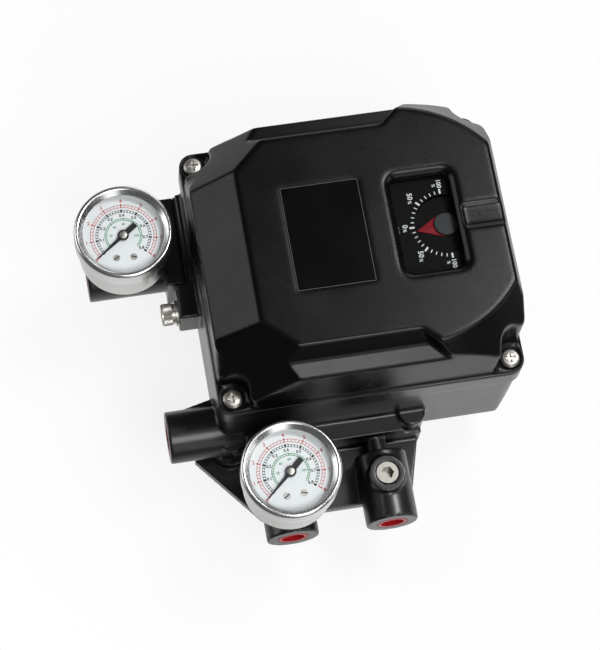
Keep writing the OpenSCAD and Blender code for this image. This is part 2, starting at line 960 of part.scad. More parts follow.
module gauge_port_plug() {
    color([0.7, 0.69, 0.66])
        translate([outlet_x[1], outlet_gauge_y, gauge_seat_z - stem_l])
            difference() {
                cylinder(r = stem_r, h = stem_l + 0.3);
                translate([0, 0, stem_l - 3.5])
                    cylinder(r = 2.9, h = 5, $fn = 6);
            }
}

module ground_screw() {
    stack = 2 * washer_t;
    color([0.75, 0.75, 0.73])
        translate([ground_x - stack, ground_screw_y, ground_z])
            difference() {
                union() {
                    translate([-ground_head_l, 0, 0])
                        x_cylinder(ground_head_r, ground_head_l);
                    translate([-fit, 0, 0])
                        x_cylinder(ground_r, stack + ground_bite);
                }
                translate([-ground_head_l - over, 0, 0])
                    rotate([0, 90, 0])
                        cylinder(r = ground_head_r * 0.57, h = 3 + over, $fn = 6);
            }
}

module ground_washers() {
    color([0.65, 0.65, 0.64])
        for (i = [0, 1])
            translate([ground_x - (i + 1) * washer_t, ground_screw_y, ground_z])
                rotate([0, 90, 0])
                    ring(ground_head_r + 1 - 1.2 * i, ground_r + fit, washer_t - run);
}

// Pressure gauges: the same pieces are placed in the supply and the output port
module at_gauge(supply) {
    place = supply ? [supply_gauge_x, supply_gauge_y] : [outlet_x[0], outlet_gauge_y];
    translate([place.x, place.y, gauge_seat_z])
        rotate(supply ? supply_turn : output_turn)
            children();
}

module gauge_case() {
    color([0.72, 0.73, 0.74])
        rotate_extrude($fn = 96)
            polygon([[stem_r - 0.8, case_z], [case_od / 2 - 1.5, case_z], [case_od / 2, case_z + 1.5],
                [case_od / 2, case_top], [case_in, case_top], [case_in, case_z + case_wall],
                [stem_r - 0.8, case_z + case_wall]]);
}

module gauge_bezel() {
    r = case_od / 2 + bezel_over;
    lip = case_in - 1.1;
    lip_z = bezel_top - bezel_rise;
    color([0.8, 0.81, 0.82])
        rotate_extrude($fn = 96)
            polygon([[case_od / 2 + fit, bezel_z], [r - 0.4, bezel_z], [r, bezel_z + 0.5],
                [r, bezel_top - 1.6], [r - 0.5, bezel_top - 0.5], [r - 1.3, bezel_top],
                [r - 2, bezel_top - 0.3], [lip, lip_z + 0.6], [lip, lip_z], [case_od / 2 + fit, lip_z]]);
}

module gauge_lens() {
    color([0.85, 0.9, 0.92, 0.35])
        translate([0, 0, glass_z])
            cylinder(r = case_od / 2 - fit, h = glass_t, $fn = 96);
}

module gauge_dial() {
    color([0.95, 0.95, 0.93])
        translate([0, 0, dial_z])
            ring(case_in - fit, staff_r + 0.6, dial_t, $fn = 96);
}

module gauge_stem() {
    flats = 12;
    color([0.72, 0.6, 0.3])
        union() {
            translate([0, 0, -stem_l])
                cylinder(r = stem_r, h = stem_l + fit);
            cylinder(r = flats / sqrt(3), h = flats_h, $fn = 6);
            translate([0, 0, flats_h - fit])
                cylinder(r = stem_r - 0.8 - fit, h = case_wall + 2 * fit);
            translate([-6, -8, case_z + case_wall])
                cube([12, 12, socket_h]);
            difference() {
                translate([3, -11.5, case_z + case_wall])
                    cube([8.6, 5.2, socket_h]);
                translate([0, 0, socket_top - tube_h - fit])
                    ring(tube_r + tube_w / 2 + fit, tube_r - tube_w / 2 - fit, tube_h + over);
            }
        }
}

module gauge_bourdon() {
    start = -54;
    sweep = 250;
    color([0.75, 0.62, 0.3])
        rotate(start)
            rotate_extrude(angle = sweep)
                translate([tube_r - tube_w / 2, socket_top - tube_h])
                    square([tube_w, tube_h]);
}

module gauge_movement() {
    post_r = 1;
    w = 13;
    low = -gear_gap - 2.4;
    color([0.78, 0.66, 0.35])
        difference() {
            union() {
                for (z = [socket_top, frame_top])
                    translate([-w / 2, low, z])
                        cube([w, 5 - low, frame_t]);
                for (x = [-1, 1])
                    translate([x * (w / 2 - post_r - 0.2), 3, socket_top])
                        cylinder(r = post_r, h = dial_z - socket_top);
            }
            for (y = [0, -gear_gap])
                translate([0, y, socket_top - over])
                    cylinder(r = staff_r + run, h = far);
        }
}

// Outline of one gear of the movement, with slim teeth that run free
module gear_teeth(teeth, first, last) {
    pitch_r = tooth_m * teeth / 2;
    root_r = pitch_r - 0.62;
    tip_r = pitch_r + 0.36;
    for (i = [first : last])
        rotate(i * 360 / teeth)
            polygon([[root_r - 0.2, -0.42], [root_r, -0.42], [pitch_r, -0.29], [tip_r, -0.13],
                [tip_r, 0.13], [pitch_r, 0.29], [root_r, 0.42], [root_r - 0.2, 0.42]]);
}

module gauge_sector() {
    pitch_r = tooth_m * sector_teeth / 2;
    root_r = pitch_r - 0.62;
    half = 35;
    swing = hand_sweep / 2 * pinion_teeth / sector_teeth;
    pie = 2 * root_r;
    color([0.8, 0.68, 0.38])
        translate([0, -gear_gap, 0]) {
            translate([0, 0, socket_top + gap])
                cylinder(r = staff_r, h = frame_top + frame_t - socket_top - 2 * gap);
            translate([0, 0, gear_z])
                linear_extrude(gear_t / 2)
                    rotate(90) {
                        circle(2);
                        intersection() {
                            difference() {
                                circle(root_r);
                                circle(root_r - 1.6);
                            }
                            rotate(-swing)
                                polygon([[0, 0], [pie * cos(half), -pie * sin(half)], [pie, 0],
                                    [pie * cos(half), pie * sin(half)]]);
                        }
                        rotate(-swing)
                            translate([0, -0.8])
                                square([root_r - 0.8, 1.6]);
                        rotate(360 / sector_teeth / 2)
                            gear_teeth(sector_teeth, -7, 0);
                    }
        }
}

module gauge_pointer() {
    color([0.03, 0.03, 0.03]) {
        translate([0, 0, socket_top + gap])
            cylinder(r = staff_r, h = hand_z - socket_top);
        translate([0, 0, gear_z])
            linear_extrude(gear_t) {
                circle(tooth_m * pinion_teeth / 2 - 0.5);
                rotate(-90)
                    gear_teeth(pinion_teeth, 0, pinion_teeth - 1);
            }
        translate([0, 0, hand_z - 0.3])
            cylinder(r = 2.4, h = 1.2);
        translate([0, 0, hand_z])
            rotate(hand_zero)
                linear_extrude(0.6)
                    polygon([[-7.4, -1.25], [0, -1.25], [0, -0.9], [hand_l, -0.15],
                        [hand_l, 0.15], [0, 0.9], [0, 1.25], [-7.4, 1.25]]);
    }
}

module supply_gauge_case() { at_gauge(true) gauge_case(); }
module supply_gauge_bezel() { at_gauge(true) gauge_bezel(); }
module supply_gauge_lens() { at_gauge(true) gauge_lens(); }
module supply_gauge_dial() { at_gauge(true) gauge_dial(); }
module supply_gauge_stem() { at_gauge(true) gauge_stem(); }
module supply_gauge_bourdon() { at_gauge(true) gauge_bourdon(); }
module supply_gauge_movement() { at_gauge(true) gauge_movement(); }
module supply_gauge_sector() { at_gauge(true) gauge_sector(); }
module supply_gauge_pointer() { at_gauge(true) gauge_pointer(); }
module output_gauge_case() { at_gauge(false) gauge_case(); }
module output_gauge_bezel() { at_gauge(false) gauge_bezel(); }
module output_gauge_lens() { at_gauge(false) gauge_lens(); }
module output_gauge_dial() { at_gauge(false) gauge_dial(); }
module output_gauge_stem() { at_gauge(false) gauge_stem(); }
module output_gauge_bourdon() { at_gauge(false) gauge_bourdon(); }
module output_gauge_movement() { at_gauge(false) gauge_movement(); }
module output_gauge_sector() { at_gauge(false) gauge_sector(); }
module output_gauge_pointer() { at_gauge(false) gauge_pointer(); }

// Feedback shaft with its bushes, cam and indicator
module feedback_shaft() {
    color([0.7, 0.7, 0.7])
        difference() {
            union() {
                translate([0, 0, -shaft_reach])
                    cylinder(r = tang_r, h = flats_l + fit);
                translate([0, 0, pin_low])
                    cylinder(r = pin_r, h = -pin_low);
                translate([0, 0, -pin_gap])
                    cylinder(r = shaft_r, h = pin_gap + collar_z + fit);
                translate([0, 0, collar_z])
                    cylinder(r = collar_r, h = collar_t);
                translate([0, 0, collar_z])
                    cylinder(r = upper_r, h = hub_z - collar_z);
                translate([0, 0, cam_z - 3])
                    cylinder(r = upper_r + 2.5, h = 3);
            }
            for (s = [-1, 1])
                translate([-shaft_r - over, s > 0 ? shaft_flats / 2 : -shaft_flats / 2 - shaft_r,
                    -shaft_reach - over])
                    cube([2 * shaft_r + 2 * over, shaft_r, flats_l + over]);
            translate([0, 0, clip_z])
                ring(shaft_r + over, shaft_r - 0.5, clip_t);
        }
}

module bush(l, flange) {
    ring(bush_r, shaft_r + run, flange ? l + bush_flange_t : l);
    if (flange)
        translate([0, 0, l])
            ring(bush_r + 2, shaft_r + run, bush_flange_t);
}

module shaft_bushes() {
    color([0.7, 0.55, 0.3]) {
        translate([0, 0, recess_z])
            bush(bush_l, false);
        translate([0, 0, upper_bush_z])
            bush(bearing_z - upper_bush_z, true);
    }
}

module shaft_seal() {
    section_r = seal_h / 2;
    color([0.05, 0.05, 0.05])
        translate([0, 0, seal_z])
            rotate_extrude()
                intersection() {
                    translate([shaft_r + run + section_r, section_r])
                        circle(section_r);
                    translate([shaft_r + run, 0])
                        square([bush_wall - run, seal_h]);
                }
}

module shaft_clip() {
    color([0.4, 0.4, 0.42])
        translate([0, 0, clip_z + run])
            difference() {
                ring(shaft_r + 2.5, shaft_r - 0.5 + run, clip_t - 2 * run);
                translate([0, -1.5, -over])
                    cube([far, 3, clip_t + 2 * over]);
            }
}

// Cam profile: the roller's path seen from the turning cam, moved in by the roller's radius
cam_rest_lead = 90 + pointer_turn;
cam_first = -cam_rest_lead - 20;
cam_last = 180 - cam_rest_lead + 20;
cam_step = 5;
cam_clear = 0.12;

function turned(p, a) = [p.x * cos(a) - p.y * sin(a), p.x * sin(a) + p.y * cos(a)];
function roller_path(q) =
    turned(follower_pivot + turned(roller_at - follower_pivot, -follower_swing / 180 * q), -q);
function inward(q) =
    let (d = roller_path(q + 0.5) - roller_path(q - 0.5), n = [d.y, -d.x] / norm(d))
    (n * roller_path(q) < 0 ? n : -n);
function cam_point(q) = roller_path(q) + inward(q) * (roller_r + cam_clear);
function cam_angle(q) = atan2(cam_point(q).y, cam_point(q).x);

module cam() {
    a0 = cam_angle(cam_last);
    a1 = cam_angle(cam_first);
    r0 = norm(cam_point(cam_last));
    r1 = norm(cam_point(cam_first));
    open = (a0 - a1 + 720) % 360;
    steps = 12;
    active = [for (q = [cam_first : cam_step : cam_last]) cam_point(q)];
    back = [for (i = [1 : steps - 1])
        let (t = i / steps, r = r0 + (r1 - r0) * (1 - cos(180 * t)) / 2, a = a0 - open * t)
        [r * cos(a), r * sin(a)]];
    color([0.72, 0.72, 0.74])
        translate([0, 0, cam_z])
            linear_extrude(cam_t)
                difference() {
                    polygon(concat(active, back));
                    circle(upper_r + fit);
                }
}

module cam_nut() {
    color([0.65, 0.65, 0.66])
        translate([0, 0, cam_z + cam_t])
            difference() {
                cylinder(r = upper_r + 3.5, h = nut_t, $fn = 6);
                translate([0, 0, -over])
                    cylinder(r = upper_r + fit, h = nut_t + 2 * over);
            }
}

module indicator_disc() {
    color([0.03, 0.03, 0.03])
        translate([0, 0, hub_z])
            union() {
                cylinder(r = disc_r, h = disc_t, $fn = 72);
                cylinder(r = hub_r, h = disc_t + arrow_t + 0.5);
                translate([0, 0, -4])
                    ring(upper_r + 2, upper_r + fit, 4 + fit);
            }
}

module indicator_arrow() {
    color([0.6, 0.06, 0.07])
        translate([0, 0, hub_z + disc_t])
            rotate(180 + pointer_turn)
                linear_extrude(arrow_t)
                    difference() {
                        polygon([[disc_r - 0.4, 0], [-0.4, 6.4], [2.6, 0], [-0.4, -6.4]]);
                        circle(hub_r + fit);
                    }
}

// Chassis and the balance mechanism that it carries
module chassis_plate() {
    bracket_h = mech_h + 5;
    color([0.6, 0.61, 0.62])
        difference() {
            union() {
                translate([chassis_x0, -chassis_dy, chassis_z - chassis_t])
                    cube([chassis_x1 - chassis_x0, 2 * chassis_dy, chassis_t]);
                translate([follower_pivot.x, follower_pivot.y, chassis_z - over]) {
                    cylinder(r = 4, h = post_shoulder + over);
                    cylinder(r = 2.5, h = post_shoulder + arm_t + 1.5 + over);
                }
                translate([beam_x, beam_pivot_y, chassis_z - over]) {
                    cylinder(r = 4.5, h = mech_h - beam_h / 2 - gap + over);
                    cylinder(r = beam_pin_r, h = mech_h + beam_h / 2 + 1 + over);
                }
                translate([nozzle_block_x - nozzle_block_w / 2, nozzle_y - bracket_w / 2, chassis_z - over])
                    cube([nozzle_block_w, bracket_w, bracket_h + over]);
                translate([zero_bracket_x, zero_y - bracket_w / 2, chassis_z - over])
                    cube([zero_bracket_w, bracket_w, bracket_h + over]);
            }
            translate([0, 0, chassis_z - chassis_t - over])
                cylinder(r = collar_r + 4, h = chassis_t + 2 * over);
            for (x = pillar_x, y = [-1, 1])
                translate([x, y * pillar_y, chassis_z - chassis_t - over])
                    cylinder(r = screw_r + fit, h = chassis_t + 2 * over);
            translate([nozzle_block_x - nozzle_block_w, nozzle_y, mech_z])
                x_cylinder(rod_r + fit, 2 * nozzle_block_w);
            translate([zero_bracket_x - over, zero_y, mech_z])
                x_cylinder(zero_screw_r + run, zero_bracket_w + 2 * over);
        }
}

module chassis_pillars() {
    color([0.62, 0.62, 0.63])
        for (x = pillar_x, y = [-1, 1])
            translate([x, y * pillar_y, floor_t])
                difference() {
                    cylinder(r = standoff_r, h = chassis_z - chassis_t - floor_t);
                    translate([0, 0, chassis_z - chassis_t - floor_t - pillar_thread])
                        cylinder(r = screw_r + fit, h = pillar_thread + over);
                }
}

module chassis_screws() {
    color([0.75, 0.75, 0.74])
        for (x = pillar_x, y = [-1, 1])
            translate([x, y * pillar_y, chassis_z]) {
                difference() {
                    pan_head(screw_head_r, 2.6);
                    translate([0, 0, 2.6])
                        cross_recess(screw_head_r * 0.55, 1.5);
                }
                translate([0, 0, -chassis_t - screw_bite])
                    cylinder(r = screw_r, h = chassis_t + screw_bite + fit);
            }
}

module follower_arm() {
    color([0.66, 0.67, 0.68])
        difference() {
            union() {
                translate([0, 0, arm_z])
                    linear_extrude(arm_t) {
                        bar(follower_pivot, roller_at, 8);
                        bar(follower_pivot, hook_at, 7);
                        translate(follower_pivot)
                            circle(5.5);
                    }
                translate([roller_at.x, roller_at.y, arm_z + arm_t - fit]) {
                    cylinder(r = 3, h = cam_z - arm_z - arm_t + 0.1);
                    cylinder(r = roller_pin_r, h = cam_z + cam_t - arm_z - arm_t + 0.6);
                }
                translate([hook_at.x, hook_at.y, arm_z + arm_t - fit])
                    cylinder(r = 1.2, h = mech_z + 2 - arm_z - arm_t);
            }
            translate([follower_pivot.x, follower_pivot.y, arm_z - over])
                cylinder(r = 2.5 + run, h = arm_t + 2 * over);
        }
}

module follower_roller() {
    color([0.75, 0.72, 0.6])
        translate([roller_at.x, roller_at.y, cam_z + 0.2])
            ring(roller_r, roller_pin_r + run, roller_l);
}

// Close-wound coil between two places along X, with straight wire ends
module coil(x0, x1, lead0, lead1, mean_r) {
    turns = floor((x1 - x0) / (2 * wire_r) / 0.98);
    pitch = (x1 - x0 - 2 * wire_r) / turns;
    translate([x0, 0, 0])
        rotate([0, 90, 0])
            rotate_extrude()
                for (i = [0 : turns])
                    translate([mean_r, wire_r + i * pitch])
                        circle(wire_r);
    if (lead0 > 0)
        translate([x0 - lead0, 0, mean_r])
            x_cylinder(wire_r, lead0 + wire_r);
    if (lead1 > 0)
        translate([x1 - wire_r, 0, mean_r])
            x_cylinder(wire_r, lead1 + wire_r);
}

module feedback_spring() {
    lead = 5;
    x0 = beam_right + gap + lead;
    x1 = hook_at.x - 1.2 - gap - lead;
    color([0.6, 0.6, 0.62])
        translate([0, hook_at.y, mech_z - spring_mean_r])
            coil(x0, x1, lead, lead, spring_mean_r);
}

module balance_beam() {
    y0 = zero_y - bracket_w / 2;
    color([0.68, 0.69, 0.7])
        difference() {
            union() {
                translate([beam_left, y0, mech_z - beam_h / 2])
                    cube([beam_t, beam_end - y0, beam_h]);
                translate([beam_x, beam_pivot_y, mech_z - beam_h / 2])
                    cylinder(r = 5, h = beam_h);
                translate([beam_left - flapper_t, nozzle_y - 4, mech_z - beam_h / 2 + 1])
                    cube([flapper_t + fit, 8, beam_h - 2]);
            }
            translate([beam_x, beam_pivot_y, mech_z - beam_h / 2 - over])
                cylinder(r = beam_pin_r + run, h = beam_h + 2 * over);
        }
}

module signal_capsule() {
    wall = 1.5;
    color([0.55, 0.56, 0.58])
        translate([capsule_left, signal_lever_y, mech_z])
            difference() {
                union() {
                    x_cylinder(capsule_r, capsule_l);
                    translate([capsule_l / 2 - 1.5, 0, 0])
                        x_cylinder(min(capsule_r + 0.6, mech_h - 0.2), 3);
                    translate([0, -capsule_r / 2, -mech_h])
                        cube([capsule_l, capsule_r, mech_h]);
                }
                translate([wall, 0, 0])
                    x_cylinder(capsule_r - wall, capsule_l - 2 * wall);
                translate([capsule_l / 2, 0, 0])
                    x_cylinder(rod_r + run, capsule_l);
            }
}

module signal_diaphragm() {
    wall = 1.5;
    t = 0.6;
    color([0.15, 0.15, 0.16])
        translate([capsule_left + capsule_l / 2 - t, signal_lever_y, mech_z])
            x_cylinder(capsule_r - wall - fit, t);
}

module push_rod() {
    x0 = capsule_left + capsule_l / 2 + 0.8;
    color([0.72, 0.72, 0.73])
        translate([x0, signal_lever_y, mech_z]) {
            x_cylinder(rod_r, beam_left - gap - x0);
            x_cylinder(capsule_r * 0.6, 1);
        }
}

module nozzle() {
    x0 = nozzle_block_x - nozzle_block_w / 2 - 2;
    tip_l = 3;
    color([0.75, 0.62, 0.32])
        translate([x0, nozzle_y, mech_z])
            difference() {
                union() {
                    x_cylinder(rod_r, nozzle_tip - tip_l - x0);
                    translate([nozzle_tip - tip_l - x0, 0, 0])
                        rotate([0, 90, 0])
                            cylinder(r1 = rod_r, r2 = 0.9, h = tip_l);
                    translate([-2, 0, 0])
                        x_cylinder(rod_r + 1.5, 4);
                }
                translate([-2 - over, 0, 0])
                    x_cylinder(0.5, far);
            }
}

module zero_knob() {
    flutes = 24;
    flute_r = 0.6;
    tip_x = beam_right + 12;
    knob_x = zero_bracket_x + zero_bracket_w + 2;
    color([0.75, 0.63, 0.33])
        translate([0, zero_y, mech_z]) {
            translate([tip_x, 0, 0])
                x_cylinder(zero_screw_r, knob_x - tip_x + over);
            translate([tip_x - 1.5, 0, 0])
                x_cylinder(spring_mean_r + 1, 1.5 + fit);
            translate([knob_x, 0, 0])
                rotate([0, 90, 0])
                    linear_extrude(knob_l)
                        difference() {
                            circle(knob_r);
                            for (i = [1 : flutes])
                                rotate(i * 360 / flutes)
                                    translate([knob_r, 0])
                                        circle(flute_r);
                        }
        }
}

module zero_spring() {
    color([0.6, 0.6, 0.62])
        translate([0, zero_y, mech_z])
            coil(beam_right + 1 - gap, beam_right + 10.5 - gap, 0, 0, spring_mean_r);
}

housing();
cover();
cover_gasket();
cover_screws();
window_lens();
window_gasket();
indicator_plate();
label_plate();
relay_block();
relay_gasket();
relay_screws();
relay_plug();
pilot_spool();
port_plugs();
gauge_port_plug();
ground_screw();
ground_washers();
supply_gauge_case();
supply_gauge_bezel();
supply_gauge_lens();
supply_gauge_dial();
supply_gauge_stem();
supply_gauge_bourdon();
supply_gauge_movement();
supply_gauge_sector();
supply_gauge_pointer();
output_gauge_case();
output_gauge_bezel();
output_gauge_lens();
output_gauge_dial();
output_gauge_stem();
output_gauge_bourdon();
output_gauge_movement();
output_gauge_sector();
output_gauge_pointer();
feedback_shaft();
shaft_bushes();
shaft_seal();
shaft_clip();
cam();
cam_nut();
indicator_disc();
indicator_arrow();
chassis_plate();
chassis_pillars();
chassis_screws();
follower_arm();
follower_roller();
feedback_spring();
balance_beam();
signal_capsule();
signal_diaphragm();
push_rod();
nozzle();
zero_knob();
zero_spring();
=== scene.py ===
# %% [markdown]
# # A valve positioner on a pale studio floor
# The instrument is already built as solids: housing, cover, gauges, shaft and all
# the small parts inside. This lesson dresses those solids. Everything is in metres,
# the origin is the feedback shaft's axis at the rear face, and +Z leaves the cover.

# %% Load the solids
import json
from math import cos, sin, radians

import bmesh
import bpy
from mathutils import Matrix, Vector


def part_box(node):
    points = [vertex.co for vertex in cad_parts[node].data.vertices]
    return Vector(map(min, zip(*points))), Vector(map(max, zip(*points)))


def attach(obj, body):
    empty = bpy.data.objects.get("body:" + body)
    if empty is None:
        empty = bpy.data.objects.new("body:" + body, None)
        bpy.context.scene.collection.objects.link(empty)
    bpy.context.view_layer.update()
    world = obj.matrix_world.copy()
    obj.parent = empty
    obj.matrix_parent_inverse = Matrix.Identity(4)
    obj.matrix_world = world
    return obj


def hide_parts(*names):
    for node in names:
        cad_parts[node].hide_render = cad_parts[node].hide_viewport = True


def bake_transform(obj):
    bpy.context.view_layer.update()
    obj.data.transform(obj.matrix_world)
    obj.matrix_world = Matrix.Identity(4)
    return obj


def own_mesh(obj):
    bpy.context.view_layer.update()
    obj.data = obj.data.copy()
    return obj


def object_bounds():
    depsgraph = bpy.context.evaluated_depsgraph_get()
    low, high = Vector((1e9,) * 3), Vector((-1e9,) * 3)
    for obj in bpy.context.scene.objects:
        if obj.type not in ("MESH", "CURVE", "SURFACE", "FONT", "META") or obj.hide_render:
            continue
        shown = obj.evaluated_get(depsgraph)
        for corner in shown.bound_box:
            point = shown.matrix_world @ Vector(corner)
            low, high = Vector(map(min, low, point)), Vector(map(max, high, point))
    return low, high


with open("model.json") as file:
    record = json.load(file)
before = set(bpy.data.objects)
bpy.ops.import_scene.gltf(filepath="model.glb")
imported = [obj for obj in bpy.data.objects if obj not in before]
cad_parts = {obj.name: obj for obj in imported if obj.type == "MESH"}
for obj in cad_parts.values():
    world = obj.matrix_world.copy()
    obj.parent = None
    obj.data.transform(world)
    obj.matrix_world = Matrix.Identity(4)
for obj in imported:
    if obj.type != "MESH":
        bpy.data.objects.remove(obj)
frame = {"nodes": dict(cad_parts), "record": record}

CAD_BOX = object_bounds()
MM = 0.001
scene = bpy.context.scene
nodes = frame["nodes"]
print("solids:", len(nodes), "box:", [tuple(round(c, 4) for c in p) for p in CAD_BOX])

# %% [markdown]
# ## Camera
# The photograph was taken from well above the cover and a little from the outlet
# side, with a long lens. A long lens keeps the four sides of the housing nearly
# parallel. The three columns are the camera's right, up and backward directions.

# %% Place the camera
CAMERA_AT = Vector((-0.18169, -0.35263, 1.03186))
CAMERA_TURN = Matrix(((0.98359, 0.14159, -0.11184),
                      (-0.17035, 0.93305, -0.31688),
                      (0.05949, 0.33073, 0.94185)))
camera_data = bpy.data.cameras.new("photo_camera")
camera_data.sensor_width = 36.0
camera_data.lens = 131.24
camera_data.clip_start = 0.05
camera_data.clip_end = 50.0
camera = bpy.data.objects.new("photo_camera", camera_data)
camera.matrix_world = Matrix.Translation(CAMERA_AT) @ CAMERA_TURN.to_4x4()
scene.collection.objects.link(camera)
scene.camera = camera
scene.view_settings.view_transform = "Standard"
print("camera at", tuple(CAMERA_AT))

# %% [markdown]
# ## Node helpers
# A material or a world is a tree of nodes. One could join them by hand in the shader
# editor. Here a few helpers make a tree, add a node with its values and combine two
# numbers, so that the finishes below stay short and alike.

# %% Helpers for node trees
WHITE = (1, 1, 1, 1)


def node_tree(name):
    """A new material and its emptied node tree."""
    made = bpy.data.materials.new(name)
    made.use_nodes = True
    made.node_tree.nodes.clear()
    return made, made.node_tree


def add_node(tree, kind, **values):
    """A node of one kind, with values for its sockets and settings."""
    node = tree.nodes.new(kind)
    for key, value in values.items():
        if key in node.inputs:
            node.inputs[key].default_value = value
        else:
            setattr(node, key, value)
    return node


def combined(tree, operation, one, other):
    """Two sockets' values, put together by one operation."""
    node = add_node(tree, "ShaderNodeMath", operation=operation)
    tree.links.new(one, node.inputs[0])
    tree.links.new(other, node.inputs[1])
    return node.outputs[0]


def larger(tree, one, other):
    """The larger of two sockets' values."""
    return combined(tree, "MAXIMUM", one, other)


def times(tree, one, other):
    """The product of two sockets' values."""
    return combined(tree, "MULTIPLY", one, other)


print("node helpers are ready")

# %% [markdown]
# ## Floor
# A big pale sheet lies under the part. Seen by the camera or in a reflection, part
# of its brightness is its own, so it reads as white paper but keeps a soft shadow.
# In a reflection this glow fades away from the part, as a sheet on a table ends in a
# darker room, and the faces that look outwards stay as dark as in a real studio.

# %% Lay the floor
FLOOR_HALF = 4.0
FLOOR_GAP = 0.5 * MM
PAPER = (0.92, 0.92, 0.92, 1)
FADE_START, FADE_END = 0.2, 0.31
# Added to a place on the sheet before its distance is measured
FADE_SHIFT = (-0.05, -0.06, 0)
# Each pair holds the value beside the part and the value far away from it
SEEN_SHARE = (0.85, 1.0)
MIRRORED_SHARE = (0.7, 1.0)
MIRRORED_STRENGTH = (1.0, 0.15)


def fading(tree, reach, near, far):
    """A value that goes from near, beside the part, to far, a third of a metre away."""
    fade = add_node(tree, "ShaderNodeMapRange")
    limits = {"From Min": FADE_START, "From Max": FADE_END, "To Min": near, "To Max": far}
    for socket, value in limits.items():
        fade.inputs[socket].default_value = value
    tree.links.new(reach, fade.inputs["Value"])
    return fade.outputs["Result"]


def floor_paper():
    """Matt paper for the lamps' light, with a glow for the camera and for mirrors."""
    made, tree = node_tree("floor_paper")
    link = tree.links.new
    where = add_node(tree, "ShaderNodeTexCoord")
    sheet = add_node(tree, "ShaderNodeMapping", Location=FADE_SHIFT)
    link(where.outputs["Object"], sheet.inputs["Vector"])
    length = add_node(tree, "ShaderNodeVectorMath", operation="LENGTH")
    link(sheet.outputs["Vector"], length.inputs[0])
    reach = length.outputs["Value"]
    path = add_node(tree, "ShaderNodeLightPath")
    seen = path.outputs["Is Camera Ray"]
    mirrored = larger(tree, path.outputs["Is Glossy Ray"], path.outputs["Is Transmission Ray"])
    direct = times(tree, seen, fading(tree, reach, *SEEN_SHARE))
    share = larger(tree, direct, times(tree, mirrored, fading(tree, reach, *MIRRORED_SHARE)))
    strength = larger(tree, seen, fading(tree, reach, *MIRRORED_STRENGTH))
    matt = add_node(tree, "ShaderNodeBsdfDiffuse", Color=PAPER)
    glow = add_node(tree, "ShaderNodeEmission", Color=WHITE)
    link(strength, glow.inputs["Strength"])
    mix = add_node(tree, "ShaderNodeMixShader")
    link(share, mix.inputs[0])
    link(matt.outputs[0], mix.inputs[1])
    link(glow.outputs[0], mix.inputs[2])
    out = add_node(tree, "ShaderNodeOutputMaterial")
    link(mix.outputs[0], out.inputs["Surface"])
    return made


def make_floor(below):
    """A wide sheet at one height."""
    shape = bmesh.new()
    bmesh.ops.create_grid(shape, x_segments=1, y_segments=1, size=FLOOR_HALF)
    bmesh.ops.translate(shape, verts=shape.verts, vec=(0, 0, below))
    mesh = bpy.data.meshes.new("floor")
    shape.to_mesh(mesh)
    shape.free()
    floor = bpy.data.objects.new("floor", mesh)
    floor.data.materials.append(floor_paper())
    scene.collection.objects.link(floor)


floor_height = CAD_BOX[0].z - FLOOR_GAP
make_floor(floor_height)
print("floor at", round(floor_height / MM, 2), "mm")

# %% [markdown]
# ## World and lamps
# The world is dim, and only the camera sees it white. Large area lamps stand in for
# soft boxes: black paint is judged by what it mirrors, so a lamp's size and place
# matter more than its power. No lamp stands where the flat glass would mirror it
# into the camera.

# %% Light the part
ROOM_STRENGTH = 0.075
CENTRE = (-0.045, -0.02, 0.06)
LAMPS = (
    # name, place, size in metres, watts
    ("lamp_above", (0.63, 0.3, 1.47), 0.45, 12),
    ("lamp_front", (0.18, -0.85, 1.43), 0.7, 12),
    ("lamp_left", (-1.35, 0.5, 0.42), 0.9, 5),
    ("lamp_back", (0.6, 1.4, 0.6), 0.8, 4),
    ("lamp_right", (1.35, -0.45, 0.6), 0.9, 3),
    ("lamp_low_front", (0.3, -1.5, 0.55), 0.8, 3),
)


def soft_box(name, at, aim, size, watts):
    """A square area lamp at a place, turned to face another."""
    lamp = bpy.data.lights.new(name, "AREA")
    lamp.shape = "SQUARE"
    lamp.size = size
    lamp.energy = watts
    body = bpy.data.objects.new(name, lamp)
    turn = (Vector(aim) - Vector(at)).to_track_quat("-Z", "Y")
    body.matrix_world = Matrix.Translation(at) @ turn.to_matrix().to_4x4()
    scene.collection.objects.link(body)


def pale_world():
    """A dim grey room that is white where the camera sees it."""
    world = bpy.data.worlds.new("pale_world")
    world.use_nodes = True
    tree = world.node_tree
    tree.nodes.clear()
    dim = add_node(tree, "ShaderNodeBackground", Color=WHITE, Strength=ROOM_STRENGTH)
    white = add_node(tree, "ShaderNodeBackground", Color=WHITE, Strength=1.0)
    mix = add_node(tree, "ShaderNodeMixShader")
    path = add_node(tree, "ShaderNodeLightPath")
    tree.links.new(path.outputs["Is Camera Ray"], mix.inputs[0])
    tree.links.new(dim.outputs[0], mix.inputs[1])
    tree.links.new(white.outputs[0], mix.inputs[2])
    out = add_node(tree, "ShaderNodeOutputWorld")
    tree.links.new(mix.outputs[0], out.inputs["Surface"])
    scene.world = world


pale_world()
for lamp_name, lamp_at, lamp_size, lamp_watts in LAMPS:
    soft_box(lamp_name, lamp_at, CENTRE, lamp_size, lamp_watts)
print("lamps:", len(LAMPS))

# %% [markdown]
# ## Finishes
# Every finish is built from the same few steps, on the object's own coordinates. A
# slow noise varies the colour and the roughness in patches, and a fine noise at the
# size of the real grain varies the height. Values that are equal all over are
# written straight into the shader. A stretched fine noise gives the lines of brushed
# or turned metal.

# %% A general finish
PATCH = 45.0
SMOOTHEST = 0.02
COAT_ROUGH = 0.2
# Places of a mix node's colour sockets
MIX_A, MIX_B, MIX_RESULT = 6, 7, 2


